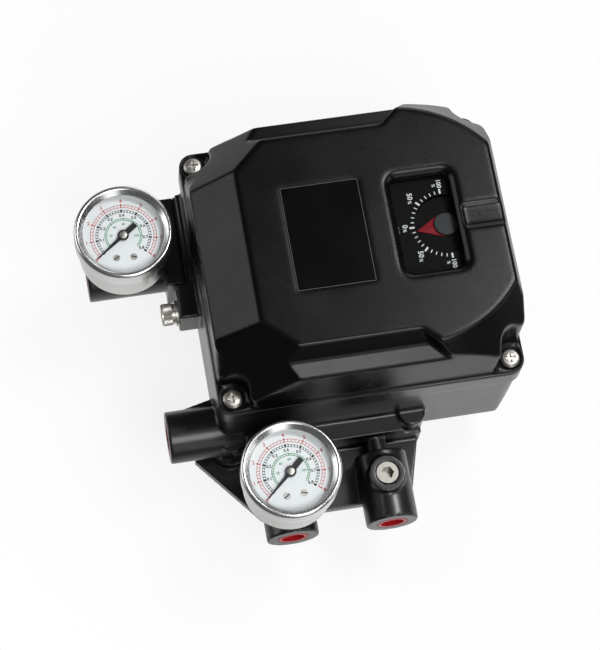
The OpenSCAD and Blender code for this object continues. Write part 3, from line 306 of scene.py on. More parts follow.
def finish(name, colour, rough, metal=0.0, grain=900.0, grain_depth=0.0, rough_swing=0.08,
           colour_swing=0.12, stretch=(1, 1, 1), gloss=0.5, coat=0.0):
    """A surface with slow patches. Its grain (per metre) shows if it has a depth (in metres)."""
    made, tree = node_tree(name)
    link = tree.links.new
    where = add_node(tree, "ShaderNodeTexCoord")
    slow = add_node(tree, "ShaderNodeTexNoise", Scale=PATCH, Detail=4.0, Roughness=0.55)
    link(where.outputs["Object"], slow.inputs["Vector"])
    shader = add_node(tree, "ShaderNodeBsdfPrincipled", Metallic=metal)
    shader.inputs["Specular IOR Level"].default_value = gloss
    shader.inputs["Coat Weight"].default_value = coat
    shader.inputs["Coat Roughness"].default_value = COAT_ROUGH
    tone = add_node(tree, "ShaderNodeMix", data_type="RGBA")
    darker = tuple(c * (1 - colour_swing) for c in colour)
    paler = tuple(min(1.0, c * (1 + colour_swing)) for c in colour)
    tone.inputs[MIX_A].default_value = darker + (1,)
    tone.inputs[MIX_B].default_value = paler + (1,)
    link(slow.outputs["Fac"], tone.inputs[0])
    link(tone.outputs[MIX_RESULT], shader.inputs["Base Color"])
    spread = add_node(tree, "ShaderNodeMapRange")
    spread.inputs["To Min"].default_value = max(SMOOTHEST, rough - rough_swing)
    spread.inputs["To Max"].default_value = rough + rough_swing
    link(slow.outputs["Fac"], spread.inputs["Value"])
    link(spread.outputs["Result"], shader.inputs["Roughness"])
    if grain_depth > 0:
        lines = add_node(tree, "ShaderNodeMapping", Scale=stretch)
        link(where.outputs["Object"], lines.inputs["Vector"])
        fine = add_node(tree, "ShaderNodeTexNoise", Scale=grain, Detail=3.0, Roughness=0.6)
        link(lines.outputs["Vector"], fine.inputs["Vector"])
        bump = add_node(tree, "ShaderNodeBump", Strength=1.0, Distance=grain_depth)
        link(fine.outputs["Fac"], bump.inputs["Height"])
        link(bump.outputs["Normal"], shader.inputs["Normal"])
    out = add_node(tree, "ShaderNodeOutputMaterial")
    link(shader.outputs[0], out.inputs["Surface"])
    return made


print("patches of", round(1000 / PATCH), "mm in every finish")

# %% [markdown]
# Paint and rubber. The cover has a fine powder-coat grain and mirrors little. The
# housing's wet paint has a clear coat, so its walls show soft streaks of the lamps.

# %% Paints
COVER_PAINT = finish("cover_powder_coat", (0.0017, 0.0017, 0.0018), 0.27, grain=1900.0,
                     grain_depth=0.00004, gloss=0.25)
HOUSING_PAINT = finish("housing_paint", (0.002, 0.002, 0.0021), 0.4, grain=1300.0,
                       grain_depth=0.00003, coat=0.4)
RUBBER = finish("rubber", (0.012, 0.012, 0.012), 0.7, grain=1500.0, grain_depth=0.00003)
PLUG_RED = finish("plug_red", (0.42, 0.01, 0.016), 0.36, grain=700.0, grain_depth=0.00003)
ARROW_RED = finish("arrow_red", (0.24, 0.004, 0.009), 0.5, grain=3000.0, grain_depth=0.00001,
                   gloss=0.2)
DIAL_WHITE = finish("dial_white", (0.84, 0.885, 0.9), 0.5, colour_swing=0.015, rough_swing=0.03)
HAND_BLACK = finish("hand_black", (0.008, 0.008, 0.008), 0.4, colour_swing=0.1)
SCALE_BLACK = finish("scale_black", (0.0016, 0.0017, 0.0018), 0.6, grain=3500.0,
                     grain_depth=0.00001, gloss=0.12)
LABEL_BLACK = finish("label_black", (0.0012, 0.0012, 0.0013), 0.16, grain=4000.0,
                     grain_depth=0.000004, gloss=0.3, rough_swing=0.04)
LABEL_LINE = finish("label_line", (0.09, 0.09, 0.09), 0.35)
print("materials with the paints:", len(bpy.data.materials))

# %% [markdown]
# Metals. The gauge case is brushed around its axis, so its noise is squeezed along Z
# into rings. The bezel is polished and mostly shows its surroundings.

# %% Metals
STAINLESS = finish("stainless_steel", (0.6, 0.58, 0.54), 0.38, metal=1.0, grain=1800.0,
                   grain_depth=0.00001)
DARK_STEEL = finish("dark_steel", (0.12, 0.12, 0.125), 0.35, metal=1.0, grain=1800.0,
                    grain_depth=0.00001)
SPRING_STEEL = finish("spring_steel", (0.5, 0.5, 0.52), 0.3, metal=1.0)
MACHINED_STEEL = finish("machined_steel", (0.5, 0.5, 0.51), 0.3, metal=1.0, grain=600.0,
                        grain_depth=0.00001, stretch=(0.1, 0.1, 6))
POLISHED_STEEL = finish("polished_steel", (0.76, 0.76, 0.76), 0.26, metal=1.0, rough_swing=0.02,
                        colour_swing=0.02)
BRUSHED_CASE = finish("brushed_case", (0.66, 0.65, 0.63), 0.26, metal=1.0, rough_swing=0.06,
                      grain=500.0, grain_depth=0.00002, stretch=(0.05, 0.05, 6),
                      colour_swing=0.03)
BRASS = finish("brass", (0.62, 0.45, 0.18), 0.28, metal=1.0)
BRONZE = finish("sintered_bronze", (0.4, 0.27, 0.13), 0.4, metal=1.0, grain=3000.0,
                grain_depth=0.00002)
ZINC = finish("zinc_plate", (0.34, 0.33, 0.3), 0.4, metal=1.0, grain=1500.0, grain_depth=0.00001)
NICKEL = finish("nickel_plate", (0.5, 0.49, 0.46), 0.42, metal=1.0, rough_swing=0.05)
ALUMINIUM = finish("plain_aluminium", (0.55, 0.56, 0.57), 0.35, metal=1.0)
print("materials with the metals:", len(bpy.data.materials))

# %% [markdown]
# Glass. Light reaches what lies behind a thin pane almost unchanged, so the rays
# that carry light to the dial pass straight through. The camera meets a glass that
# bends light less than the real kind does, which keeps its mirror images faint.

# %% Glass
GLASS_INDEX = 1.15


def clear_glass(name, tint):
    """A pane that is glass to the camera and open to all rays that bring light."""
    made, tree = node_tree(name)
    shader = add_node(tree, "ShaderNodeBsdfPrincipled", Roughness=SMOOTHEST, IOR=GLASS_INDEX)
    shader.inputs["Base Color"].default_value = tint + (1,)
    shader.inputs["Transmission Weight"].default_value = 1.0
    passing = add_node(tree, "ShaderNodeBsdfTransparent", Color=tint + (1,))
    path = add_node(tree, "ShaderNodeLightPath")
    mix = add_node(tree, "ShaderNodeMixShader")
    bounced = larger(tree, path.outputs["Is Diffuse Ray"], path.outputs["Is Glossy Ray"])
    tree.links.new(larger(tree, path.outputs["Is Shadow Ray"], bounced), mix.inputs[0])
    tree.links.new(shader.outputs[0], mix.inputs[1])
    tree.links.new(passing.outputs[0], mix.inputs[2])
    out = add_node(tree, "ShaderNodeOutputMaterial")
    tree.links.new(mix.outputs[0], out.inputs["Surface"])
    return made


GAUGE_GLASS = clear_glass("gauge_glass", (1.0, 1.0, 1.0))
WINDOW_GLASS = clear_glass("window_glass", (0.94, 0.95, 0.96))
print("glass:", GAUGE_GLASS.name, WINDOW_GLASS.name)

# %% [markdown]
# ## Dressing the solids
# The record gives every solid a slot, which says what it is made of. One could dress
# the solids one by one. A table from slots to finishes is shorter, and solids of one
# kind can't differ by mistake. Three pieces still have a finish of their own.

# %% Dress the solids
FINISH_OF = {
    "cover_paint": COVER_PAINT, "housing_paint": HOUSING_PAINT, "rubber": RUBBER,
    "stainless": STAINLESS, "dark_steel": DARK_STEEL, "spring_steel": SPRING_STEEL,
    "window_glass": WINDOW_GLASS, "scale_black": SCALE_BLACK, "label_black": LABEL_BLACK,
    "plug_red": PLUG_RED, "steel": MACHINED_STEEL, "bronze": BRONZE, "brass": BRASS,
    "aluminium": ALUMINIUM, "gauge_steel": POLISHED_STEEL, "gauge_glass": GAUGE_GLASS,
    "dial_white": DIAL_WHITE, "hand_black": HAND_BLACK, "arrow_red": ARROW_RED,
}
OWN_FINISH = {
    "supply_gauge_case": BRUSHED_CASE, "output_gauge_case": BRUSHED_CASE, "gauge_port_plug": ZINC,
}
SLOT_OF = {s["node"]: s["material_slot"] for s in frame["record"]["subparts"]}
for name, solid in nodes.items():
    solid.data.materials.clear()
    solid.data.materials.append(OWN_FINISH.get(name) or FINISH_OF[SLOT_OF[name]])
print("finishes on", len(nodes), "solids")

# %% [markdown]
# ## Softened castings
# A real casting has no sharp edges: the mould is rounded and the paint gathers on
# every ridge. One way is a bevel on each edge, but where facets, scoops and notches
# meet, bevels run into each other. Here a copy of the solid is given an even skin of
# small faces instead and then relaxed for a few rounds, which rounds every edge as
# paint does and leaves the flat faces flat. At the end a share of the small faces is
# merged away, first where the skin is flat. The helpers also serve later pieces.

# %% Helpers for new pieces
MERGE = 0.001 * MM


def add_piece(name, shape, finishes, body, hides=()):
    """A new object from a bmesh, with its finishes, on a body if one is given."""
    mesh = bpy.data.meshes.new(name)
    shape.to_mesh(mesh)
    shape.free()
    for each in finishes:
        mesh.materials.append(each)
    piece = bpy.data.objects.new(name, mesh)
    scene.collection.objects.link(piece)
    if body:
        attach(piece, body)
    if hides:
        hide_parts(*hides)
    return piece


def settled(piece):
    """Put the result of a piece's modifiers into its mesh, and count its faces."""
    graph = bpy.context.evaluated_depsgraph_get()
    mesh = bpy.data.meshes.new_from_object(piece.evaluated_get(graph))
    mesh.name = piece.name
    piece.modifiers.clear()
    piece.data = mesh
    return len(mesh.polygons)


def merged_copy(node):
    """A solid's mesh as one closed skin."""
    shape = bmesh.new()
    shape.from_mesh(nodes[node].data)
    bmesh.ops.remove_doubles(shape, verts=shape.verts, dist=MERGE)
    return shape


def verts_in(geom):
    """The vertices among the elements that an operation returns."""
    return [g for g in geom if isinstance(g, bmesh.types.BMVert)]


print("vertices closer than", MERGE / MM, "mm are merged")

# %% Soften the castings
SKIN = 0.6 * MM
RELAX = 0.5


def soft_casting(node, rounds, paint, keep):
    """A solid's copy with its edges rounded for some rounds and a share of its faces kept."""
    piece = add_piece(node + "_casting", merged_copy(node), [paint], "positioner", [node])
    skin = piece.modifiers.new("even_skin", "REMESH")
    skin.mode = "VOXEL"
    skin.voxel_size = SKIN
    skin.use_smooth_shade = True
    relax = piece.modifiers.new("rounded_edges", "SMOOTH")
    relax.factor = RELAX
    relax.iterations = rounds
    fewer = piece.modifiers.new("fewer_faces", "DECIMATE")
    fewer.ratio = keep
    print(piece.name, "faces:", settled(piece))
    return piece


cover_casting = soft_casting("cover", 20, COVER_PAINT, 0.45)
soft_casting("housing", 5, HOUSING_PAINT, 0.3)
soft_casting("relay_block", 3, HOUSING_PAINT, 0.6)

# %% [markdown]
# The cover's long edge above the left wall is much rounder than its other edges. The
# solid still knows where that edge runs: between an upright face and a sloped one.
# The casting's skin near that line is relaxed for many more rounds.

# %% Round the left brow
WALL_DEPTH = 2 * MM
# Sideways share of a face's normal, on the wall and on the facet
UPRIGHT = -0.97
STEEP, FLAT = -0.9, -0.4
BROW_REACH = 5.0 * MM
BROW_ROUNDS = 80


def left_brow():
    """The ends of the solid cover's edges between its left wall and its left facet."""
    shape = merged_copy("cover")
    shape.normal_update()
    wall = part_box("cover")[0][0] + WALL_DEPTH
    ends = []
    for edge in shape.edges:
        across = sorted(face.normal.x for face in edge.link_faces)
        bent = len(across) == 2 and across[0] < UPRIGHT and STEEP < across[1] < FLAT
        if bent and all(v.co.x < wall for v in edge.verts):
            ends += [v.co.copy() for v in edge.verts]
    shape.free()
    return ends


def relax_near(piece, ends, reach, rounds):
    """Relax a casting's skin within reach of a straight edge along Y."""
    shape = bmesh.new()
    shape.from_mesh(piece.data)
    line = Vector((sum(v.x for v in ends), 0, sum(v.z for v in ends))) / len(ends)
    first, last = min(v.y for v in ends), max(v.y for v in ends)
    near = [v for v in shape.verts if first < v.co.y < last
            and (Vector((v.co.x, 0, v.co.z)) - line).length < reach]
    for _ in range(rounds):
        bmesh.ops.smooth_vert(shape, verts=near, factor=RELAX,
                              use_axis_x=True, use_axis_y=True, use_axis_z=True)
    shape.to_mesh(piece.data)
    shape.free()
    piece.data.shade_smooth()
    print("relaxed", len(near), "points round", [round(c / MM, 1) for c in line])


relax_near(cover_casting, left_brow(), BROW_REACH, BROW_ROUNDS)

# %% [markdown]
# ## Ink
# Dial and scale marks are printed. Each mark is a flat shape of a few vertices that
# is spun or turned into place, and the whole print is then raised by the thickness
# of a coat of ink, so that it is a closed solid that lies on its plate.

# %% Helpers for ink
INK = 0.04 * MM
ARC_STEPS = 96


def arc_line(shape, radius, width, start, sweep):
    """A ring or part of one, of a line's width."""
    rims = (radius - width / 2, radius + width / 2)
    ends = [shape.verts.new((rim * cos(start), rim * sin(start), 0)) for rim in rims]
    edge = shape.edges.new(ends)
    bmesh.ops.spin(shape, geom=ends + [edge], cent=(0, 0, 0), axis=(0, 0, 1), angle=sweep,
                   steps=ARC_STEPS)


def tick(shape, inner, outer, width, turn):
    """One mark that points to the middle."""
    half = width / 2
    corners = [shape.verts.new(p) for p in
               ((inner, -half, 0), (outer, -half, 0), (outer, half, 0), (inner, half, 0))]
    shape.faces.new(corners)
    bmesh.ops.rotate(shape, verts=corners, cent=(0, 0, 0), matrix=Matrix.Rotation(turn, 3, "Z"))


def raise_ink(shape):
    """Give flat marks the thickness of ink, upwards."""
    made = bmesh.ops.extrude_face_region(shape, geom=list(shape.faces))
    bmesh.ops.translate(shape, verts=verts_in(made["geom"]), vec=(0, 0, INK))
    bmesh.ops.recalc_face_normals(shape, faces=list(shape.faces))


def numeral(shape, words, size, at, turn, bold):
    """A printed number, made a mesh and then put in its place."""
    curve = bpy.data.curves.new("numeral", "FONT")
    curve.body = words
    curve.size = size
    curve.align_x = "CENTER"
    curve.align_y = "CENTER"
    curve.resolution_u = 2
    curve.extrude = INK / 2
    curve.offset = bold
    holder = bpy.data.objects.new("numeral", curve)
    scene.collection.objects.link(holder)
    graph = bpy.context.evaluated_depsgraph_get()
    mesh = bpy.data.meshes.new_from_object(holder.evaluated_get(graph))
    bpy.data.objects.remove(holder)
    bpy.data.curves.remove(curve)
    mesh.transform(Matrix.Translation((at[0], at[1], INK / 2)) @ Matrix.Rotation(turn, 4, "Z"))
    shape.from_mesh(mesh)
    bpy.data.meshes.remove(mesh)


def middle(node):
    """The middle of a node's box in plan, at the height of its top."""
    low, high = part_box(node)
    return Vector(((low[0] + high[0]) / 2, (low[1] + high[1]) / 2, high[2]))


print("ink is", round(INK / MM, 2), "mm thick")

# %% [markdown]
# ## Gauge dials
# Each dial has three scales round one hand: a red one outside, a black one inside
# it, and a green one nearest the middle. All sweep 260 degrees, from lower left to
# lower right. Their numbers stand upright.

# %% Print the dials
INK_RED = finish("ink_red", (0.55, 0.035, 0.04), 0.5, colour_swing=0.05)
# Black ink for the dials' print; it also paints shade into the dial screws' slots.
INK_BLACK_AND_SLOT_SHADE = finish("ink_black_and_slot_shade", (0.01, 0.01, 0.01), 0.5, colour_swing=0.05)
INK_GREEN = finish("ink_green", (0.03, 0.3, 0.12), 0.5, colour_swing=0.05)
ZERO, SWEEP = radians(220), radians(-260)
STEPS_PER_NUMBER = 5
DIAL_TURN = {"supply": -3.6, "output": 2.4}
# Lengths in millimetres; a share is a number's place along the sweep
SCALES = {
    "red": {
        "ink": INK_RED, "rings": (13.4, 14.6), "ring": 0.22, "steps": 40,
        "reach": 15.3, "thin": 0.2, "thick": 0.46,
        "words": [str(v) for v in range(9)], "shares": [v / 8 for v in range(9)],
        "radius": 16.5, "size": 2.2, "bold": 0.05,
    },
    "black": {
        "ink": INK_BLACK_AND_SLOT_SHADE, "rings": (11.2, 12.2), "ring": 0.16, "steps": 40,
        "reach": 12.5, "thin": 0.36, "thick": 0.85,
        "words": ["0." + str(v) for v in range(1, 9)], "shares": [v / 8 for v in range(1, 9)],
        "radius": 9.7, "size": 1.9, "bold": 0.05,
    },
    "green": {
        "ink": INK_GREEN, "rings": (7.4, 8.2), "ring": 0.26, "steps": 29,
        "reach": 8.4, "thin": 0.24, "thick": 0.42,
        "words": ["20", "40", "60", "80", "100"], "shares": [v / 116 for v in range(20, 101, 20)],
        "radius": 5.6, "size": 1.6, "bold": 0.03,
    },
}


def scale_lines(shape, scale):
    """Two rings, with a mark for each step and a bolder one for each number."""
    inner, outer = [radius * MM for radius in scale["rings"]]
    for radius in (inner, outer):
        arc_line(shape, radius, scale["ring"] * MM, ZERO, SWEEP)
    for step in range(scale["steps"] + 1):
        turn = ZERO + SWEEP * step / scale["steps"]
        if step % STEPS_PER_NUMBER == 0:
            tick(shape, inner, scale["reach"] * MM, scale["thick"] * MM, turn)
        else:
            tick(shape, inner, outer, scale["thin"] * MM, turn)


def scale_numbers(shape, scale):
    """A scale's numbers, upright round the dial."""
    radius = scale["radius"] * MM
    for word, share in zip(scale["words"], scale["shares"]):
        turn = ZERO + SWEEP * share
        at = (radius * cos(turn), radius * sin(turn))
        numeral(shape, word, scale["size"] * MM, at, 0, scale["bold"] * MM)


def print_dial(kind, turn):
    """All scales of one gauge, and where its dial is."""
    place = Matrix.Translation(middle(kind + "_gauge_dial")) @ Matrix.Rotation(turn, 4, "Z")
    for colour, scale in SCALES.items():
        shape = bmesh.new()
        scale_lines(shape, scale)
        raise_ink(shape)
        scale_numbers(shape, scale)
        bmesh.ops.transform(shape, matrix=place, verts=shape.verts)
        add_piece(kind + "_dial_" + colour + "_scale", shape, [scale["ink"]], "positioner")
    return place


DIAL_PLACE = {kind: print_dial(kind, radians(turn)) for kind, turn in DIAL_TURN.items()}
print("dials printed:", list(DIAL_PLACE))

# %% [markdown]
# ## Rolled bezels
# Each bezel is a steel ring with a rolled edge. The solid has that edge in a few flat
# bands, which break up the reflections. A bevel would only add more bands, so the
# ring is turned again: one section, with a curved crest between the outer wall and
# the slope down to the glass, goes once round the gauge's axis.

# %% Turn the bezels
BEZEL_WALL = 1.75 * MM
FOOT_IN, FOOT_UP = 0.4 * MM, 0.5 * MM
CREST_OUT, CREST_FALL = 1.3 * MM, 1.6 * MM
ROLL_IN, ROLL_FALL = 1.0 * MM, 0.6 * MM
LIP_TOP, LIP_LOW = 2.2 * MM, 2.8 * MM
CREST_STEPS = 8
ROLL_STEPS, ROLL_TURN = 5, 12
BEZEL_STEPS = 128
BEZEL_SHARP = radians(35)


def bezel_section(lip, outer, low, high):
    """Radius and height of each point, from the foot round the outside to the lip."""
    foot, crest = outer - BEZEL_WALL, outer - CREST_OUT
    points = [(foot, low), (outer - FOOT_IN, low), (outer, low + FOOT_UP)]
    for step in range(CREST_STEPS + 1):
        turn = radians(90 * step / CREST_STEPS)
        points.append((crest + CREST_OUT * cos(turn), high - CREST_FALL * (1 - sin(turn))))
    for step in range(1, ROLL_STEPS + 1):
        turn = radians(ROLL_TURN * step)
        points.append((crest - ROLL_IN * sin(turn), high - ROLL_FALL * (1 - cos(turn))))
    return points + [(lip, high - LIP_TOP), (lip, high - LIP_LOW), (foot, high - LIP_LOW)]


def turned_bezel(node):
    """A smooth ring with a solid bezel's radii and heights, in its place."""
    axis = middle(node)
    low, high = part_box(node)
    radii = [(v.co - axis).to_2d().length for v in nodes[node].data.vertices]
    ring = bmesh.new()
    section = [ring.verts.new((axis.x + radius, axis.y, height))
               for radius, height in bezel_section(min(radii), max(radii), low[2], high[2])]
    lines = [ring.edges.new(pair) for pair in zip(section, section[1:] + section[:1])]
    bmesh.ops.spin(ring, geom=section + lines, cent=axis, axis=(0, 0, 1), angle=radians(360),
                   steps=BEZEL_STEPS, use_merge=True)
    bmesh.ops.recalc_face_normals(ring, faces=list(ring.faces))
    piece = add_piece(node + "_turned", ring, [POLISHED_STEEL], "positioner", [node])
    piece.data.shade_smooth()
    piece.data.set_sharp_from_angle(angle=BEZEL_SHARP)
    print(piece.name, "from", round(min(radii) / MM, 2), "to", round(max(radii) / MM, 2), "mm")


for kind in DIAL_PLACE:
    turned_bezel(kind + "_gauge_bezel")

# %% [markdown]
# Two slotted screws hold each dial, and a bright cap closes the hand's hub. A
# screw's head starts as a thin disc that is cut along its slot: the two sides are
# pulled up and the strip between them stays low, painted black as shade. The cap
# is half of a flattened ball.

# %% Dial screws and hub caps
ROUND_SIDES = 28
HEAD_R, HEAD_UP, SLOT = 1.5 * MM, 0.3 * MM, 0.5 * MM
SLOT_FLOOR = HEAD_UP / 10
# Place across and up the dial, and the slot's turn in degrees
HEADS = ((-3.75 * MM, -10.2 * MM, 35), (3.75 * MM, -10.2 * MM, -20))
CAP_R, CAP_UP = 1.75 * MM, 0.36 * MM
CUT_SNAP = 0.01 * MM


def slotted_head(shape, at, turn):
    """A screw's head with a slot, whose floor gets the second finish, black as painted shade."""
    made = bmesh.ops.create_cone(shape, cap_ends=True, segments=ROUND_SIDES, radius1=HEAD_R,
                                 radius2=HEAD_R, depth=SLOT_FLOOR)["verts"]
    bmesh.ops.translate(shape, verts=made, vec=(0, 0, SLOT_FLOOR / 2))
    for side in (-1, 1):
        here = list({f for v in made for f in v.link_faces})
        geom = here + [e for f in here for e in f.edges] + [v for f in here for v in f.verts]
        cut = bmesh.ops.bisect_plane(shape, geom=list(set(geom)),
                                     plane_co=(0, side * SLOT / 2, 0), plane_no=(0, 1, 0))
        made += verts_in(cut["geom_cut"])
    shape.normal_update()
    tops = [f for f in {f for v in made for f in v.link_faces}
            if f.calc_center_median().z > 0.9 * SLOT_FLOOR]
    sides = [f for f in tops if abs(f.calc_center_median().y) > SLOT / 2]
    # The slot's floor is painted black as shade in the recess.
    for strip in set(tops) - set(sides):
        strip.material_index = 1
    lifted = verts_in(bmesh.ops.extrude_face_region(shape, geom=sides)["geom"])
    bmesh.ops.translate(shape, verts=lifted, vec=(0, 0, HEAD_UP - SLOT_FLOOR))
    bmesh.ops.delete(shape, geom=sides, context="FACES_ONLY")
    place = Matrix.Translation(at) @ Matrix.Rotation(turn, 4, "Z")
    bmesh.ops.transform(shape, matrix=place, verts=list(set(made + lifted)))


def hub_cap(shape, at):
    """The upper half of a flattened ball."""
    made = bmesh.ops.create_uvsphere(shape, u_segments=ROUND_SIDES, v_segments=ROUND_SIDES // 2,
                                     radius=CAP_R)["verts"]
    bmesh.ops.scale(shape, verts=made, vec=(1, 1, CAP_UP / CAP_R))
    bmesh.ops.bisect_plane(shape, geom=list(shape.verts) + list(shape.edges) + list(shape.faces),
                           dist=CUT_SNAP, plane_co=(0, 0, 0), plane_no=(0, 0, 1),
                           clear_inner=True)
    bmesh.ops.holes_fill(shape, edges=list(shape.edges), sides=0)
    bmesh.ops.translate(shape, verts=shape.verts, vec=at)


for kind, place in DIAL_PLACE.items():
    heads = bmesh.new()
    for across, up, turn in HEADS:
        slotted_head(heads, (across, up, 0), radians(turn))
    bmesh.ops.transform(heads, matrix=place, verts=heads.verts)
    bmesh.ops.recalc_face_normals(heads, faces=list(heads.faces))
    # The second finish paints shade on the slot floors.
    add_piece(kind + "_dial_screws", heads, [NICKEL, INK_BLACK_AND_SLOT_SHADE], "positioner")
    cap = bmesh.new()
    hub = middle(kind + "_gauge_dial")
    hub.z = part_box(kind + "_gauge_pointer")[1][2]
    hub_cap(cap, hub)
    bmesh.ops.recalc_face_normals(cap, faces=list(cap.faces))
    cap_piece = add_piece(kind + "_hub_cap", cap, [NICKEL], kind + "_hand")
    cap_piece.data.shade_smooth()
print("dial screws and hub caps on", len(DIAL_PLACE), "gauges")

# %% [markdown]
# ## The window's scale
# White marks run round the shaft on the dark plate behind the window: nought points
# away from the shaft to the left, and a hundred lies a quarter turn to either side.
# The numbers are turned so that they read from the right-hand side.

# %% Print the window's scale
INK_WHITE = finish("ink_white", (0.78, 0.78, 0.76), 0.5, colour_swing=0.03)
MARK_COUNT = 21
MARK_FIRST, MARK_STEP = 90, 9
MARK_FOOT = 13.8 * MM
# Reach and width of a mark
BOLD_MARK = (16.0 * MM, 0.85 * MM)
THIN_MARK = (15.3 * MM, 0.42 * MM)
marks = bmesh.new()
for step in range(MARK_COUNT):
    reach, width = BOLD_MARK if step % STEPS_PER_NUMBER == 0 else THIN_MARK
    tick(marks, MARK_FOOT, reach, width, radians(MARK_FIRST + MARK_STEP * step))
raise_ink(marks)
print("window marks:", MARK_COUNT)

# %% [markdown]
# A number and its sign share a line. The hundreds stand at the window's ends, where
# the room is short, so they are smaller and their sign has a line of its own.

# %% Number the window's scale
QUARTER = radians(-90)
DIGIT, SIGN = 1.76 * MM, 1.9 * MM
SIGN_DROP = 0.39 * MM
NUMBER_SIZE, SIGN_SIZE = 3.2 * MM, 2.1 * MM
NUMBER_BOLD, SIGN_BOLD = 0.07 * MM, 0.04 * MM
# Number, angle in degrees and radius in millimetres
NUMBERS = (("50", 135, 19.0), ("0", 180, 17.9), ("50", 225, 19.0))
HUNDRED_SIZE, HUNDRED_X, HUNDRED_Y = 2.8 * MM, 0.1 * MM, 18.5 * MM
SMALL_SIGN_SIZE, SMALL_SIGN_X, SMALL_SIGN_Y = 2.0 * MM, -2.3 * MM, 17.9 * MM


def share_mark(shape, word, at):
    """A number and, after it on the same line, a smaller sign."""
    length = len(word) * DIGIT
    start = at[1] + (length + SIGN) / 2
    numeral(shape, word, NUMBER_SIZE, (at[0], start - length / 2), QUARTER, NUMBER_BOLD)
    sign_at = (at[0] - SIGN_DROP, start - length - SIGN / 2)
    numeral(shape, "%", SIGN_SIZE, sign_at, QUARTER, SIGN_BOLD)


for word, angle, radius in NUMBERS:
    turn = radians(angle)
    share_mark(marks, word, (radius * MM * cos(turn), radius * MM * sin(turn)))
for side in (-1, 1):
    numeral(marks, "100", HUNDRED_SIZE, (HUNDRED_X, side * HUNDRED_Y), QUARTER, NUMBER_BOLD)
    numeral(marks, "%", SMALL_SIGN_SIZE, (SMALL_SIGN_X, side * SMALL_SIGN_Y), QUARTER, SIGN_BOLD)
plate_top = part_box("indicator_plate")[1][2]
bmesh.ops.translate(marks, verts=marks.verts, vec=(0, 0, plate_top))
add_piece("indicator_marks", marks, [INK_WHITE], "positioner")
print("window marks at", round(plate_top / MM, 2), "mm")

# %% [markdown]
# ## The arrow
# The red arrow is folded along its middle, so one half always catches more light.
# It starts as four corners, with the line from its tip to its notch pulled up.

# %% Fold the arrow
TIP, NOTCH = 12.8 * MM, 2.6 * MM
BARB_X, BARB_Y = 1.6 * MM, 5.4 * MM
FOLD_UP, BARB_UP = 0.9 * MM, 0.25 * MM
AIM = radians(186)
arrow = bmesh.new()
arrow_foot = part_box("indicator_arrow")[0][2]
tip, notch = [arrow.verts.new((along, 0, FOLD_UP)) for along in (TIP, NOTCH)]
barbs = [arrow.verts.new((BARB_X, side * BARB_Y, BARB_UP)) for side in (-1, 1)]
arrow.faces.new((tip, notch, barbs[0]))
arrow.faces.new((tip, barbs[1], notch))
made = bmesh.ops.extrude_face_region(arrow, geom=list(arrow.faces))
for vert in verts_in(made["geom"]):
    vert.co.z = 0
bmesh.ops.recalc_face_normals(arrow, faces=list(arrow.faces))
bmesh.ops.rotate(arrow, verts=arrow.verts, cent=(0, 0, 0), matrix=Matrix.Rotation(AIM, 3, "Z"))
bmesh.ops.translate(arrow, verts=arrow.verts, vec=(0, 0, arrow_foot))
add_piece("arrow_folded", arrow, [ARROW_RED], "feedback", ["indicator_arrow"])
print("arrow from", round(arrow_foot / MM, 2), "mm")

# %% [markdown]
# A round cap closes the shaft's end in the window and hides the arrow's notch. It is
# a short cone whose upper rim is bevelled.

# %% Cap the shaft
HUB_GREY = finish("hub_grey", (0.007, 0.008, 0.0075), 0.5, grain=2500.0, grain_depth=0.00002)
HUB_FOOT_R, HUB_TOP_R, HUB_UP = 5.3 * MM, 5.1 * MM, 0.6 * MM
HUB_SIDES, HUB_BEVEL = 56, 0.3 * MM
shaft_cap = bmesh.new()
bmesh.ops.create_cone(shaft_cap, cap_ends=True, segments=HUB_SIDES, radius1=HUB_FOOT_R,
                      radius2=HUB_TOP_R, depth=HUB_UP)
rim = [e for e in shaft_cap.edges if all(v.co.z > 0 for v in e.verts)]
bmesh.ops.bevel(shaft_cap, geom=rim, offset=HUB_BEVEL, offset_type="OFFSET", affect="EDGES",
                segments=3, profile=0.5, material=-1)
hub_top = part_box("indicator_disc")[1][2]
bmesh.ops.translate(shaft_cap, verts=shaft_cap.verts, vec=(0, 0, hub_top + HUB_UP / 2))
add_piece("indicator_hub_cap", shaft_cap, [HUB_GREY], "feedback")
print("hub cap on", round(hub_top / MM, 2), "mm")

# %% [markdown]
# ## The label
# The label is a thin bare plate with a fine pale line just inside its edge. The
# line is flush with the plate: two insets divide the top face, and the narrow ring
# between them gets the line's finish.

# %% Make the label
LINE_IN, LINE_WIDTH = 0.25 * MM, 0.3 * MM
label = bmesh.new()
low, high = [Vector(p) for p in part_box("label_plate")]
plan = ((low.x, low.y), (high.x, low.y), (high.x, high.y), (low.x, high.y))
label.faces.new([label.verts.new((x, y, low.z)) for x, y in plan])
made = bmesh.ops.extrude_face_region(label, geom=list(label.faces))
bmesh.ops.translate(label, verts=verts_in(made["geom"]), vec=(0, 0, high.z - low.z))
bmesh.ops.recalc_face_normals(label, faces=list(label.faces))
upper = [f for f in label.faces if f.normal.z > 0.9]
bmesh.ops.inset_region(label, faces=upper, thickness=LINE_IN)
for face in bmesh.ops.inset_region(label, faces=upper, thickness=LINE_WIDTH)["faces"]:
    face.material_index = 1
add_piece("label_face", label, [LABEL_BLACK, LABEL_LINE], "positioner",
          ["label_plate"])
print("label:", [round(c / MM, 1) for c in high - low], "mm")

# %% [markdown]
# ## The ground screw's knurl
# The earth screw can be turned by hand, so its head has a straight knurl. A ring of
# many short sides has every second corner pulled out, is bridged to a plain inner
# ring, and is then drawn out along the screw.

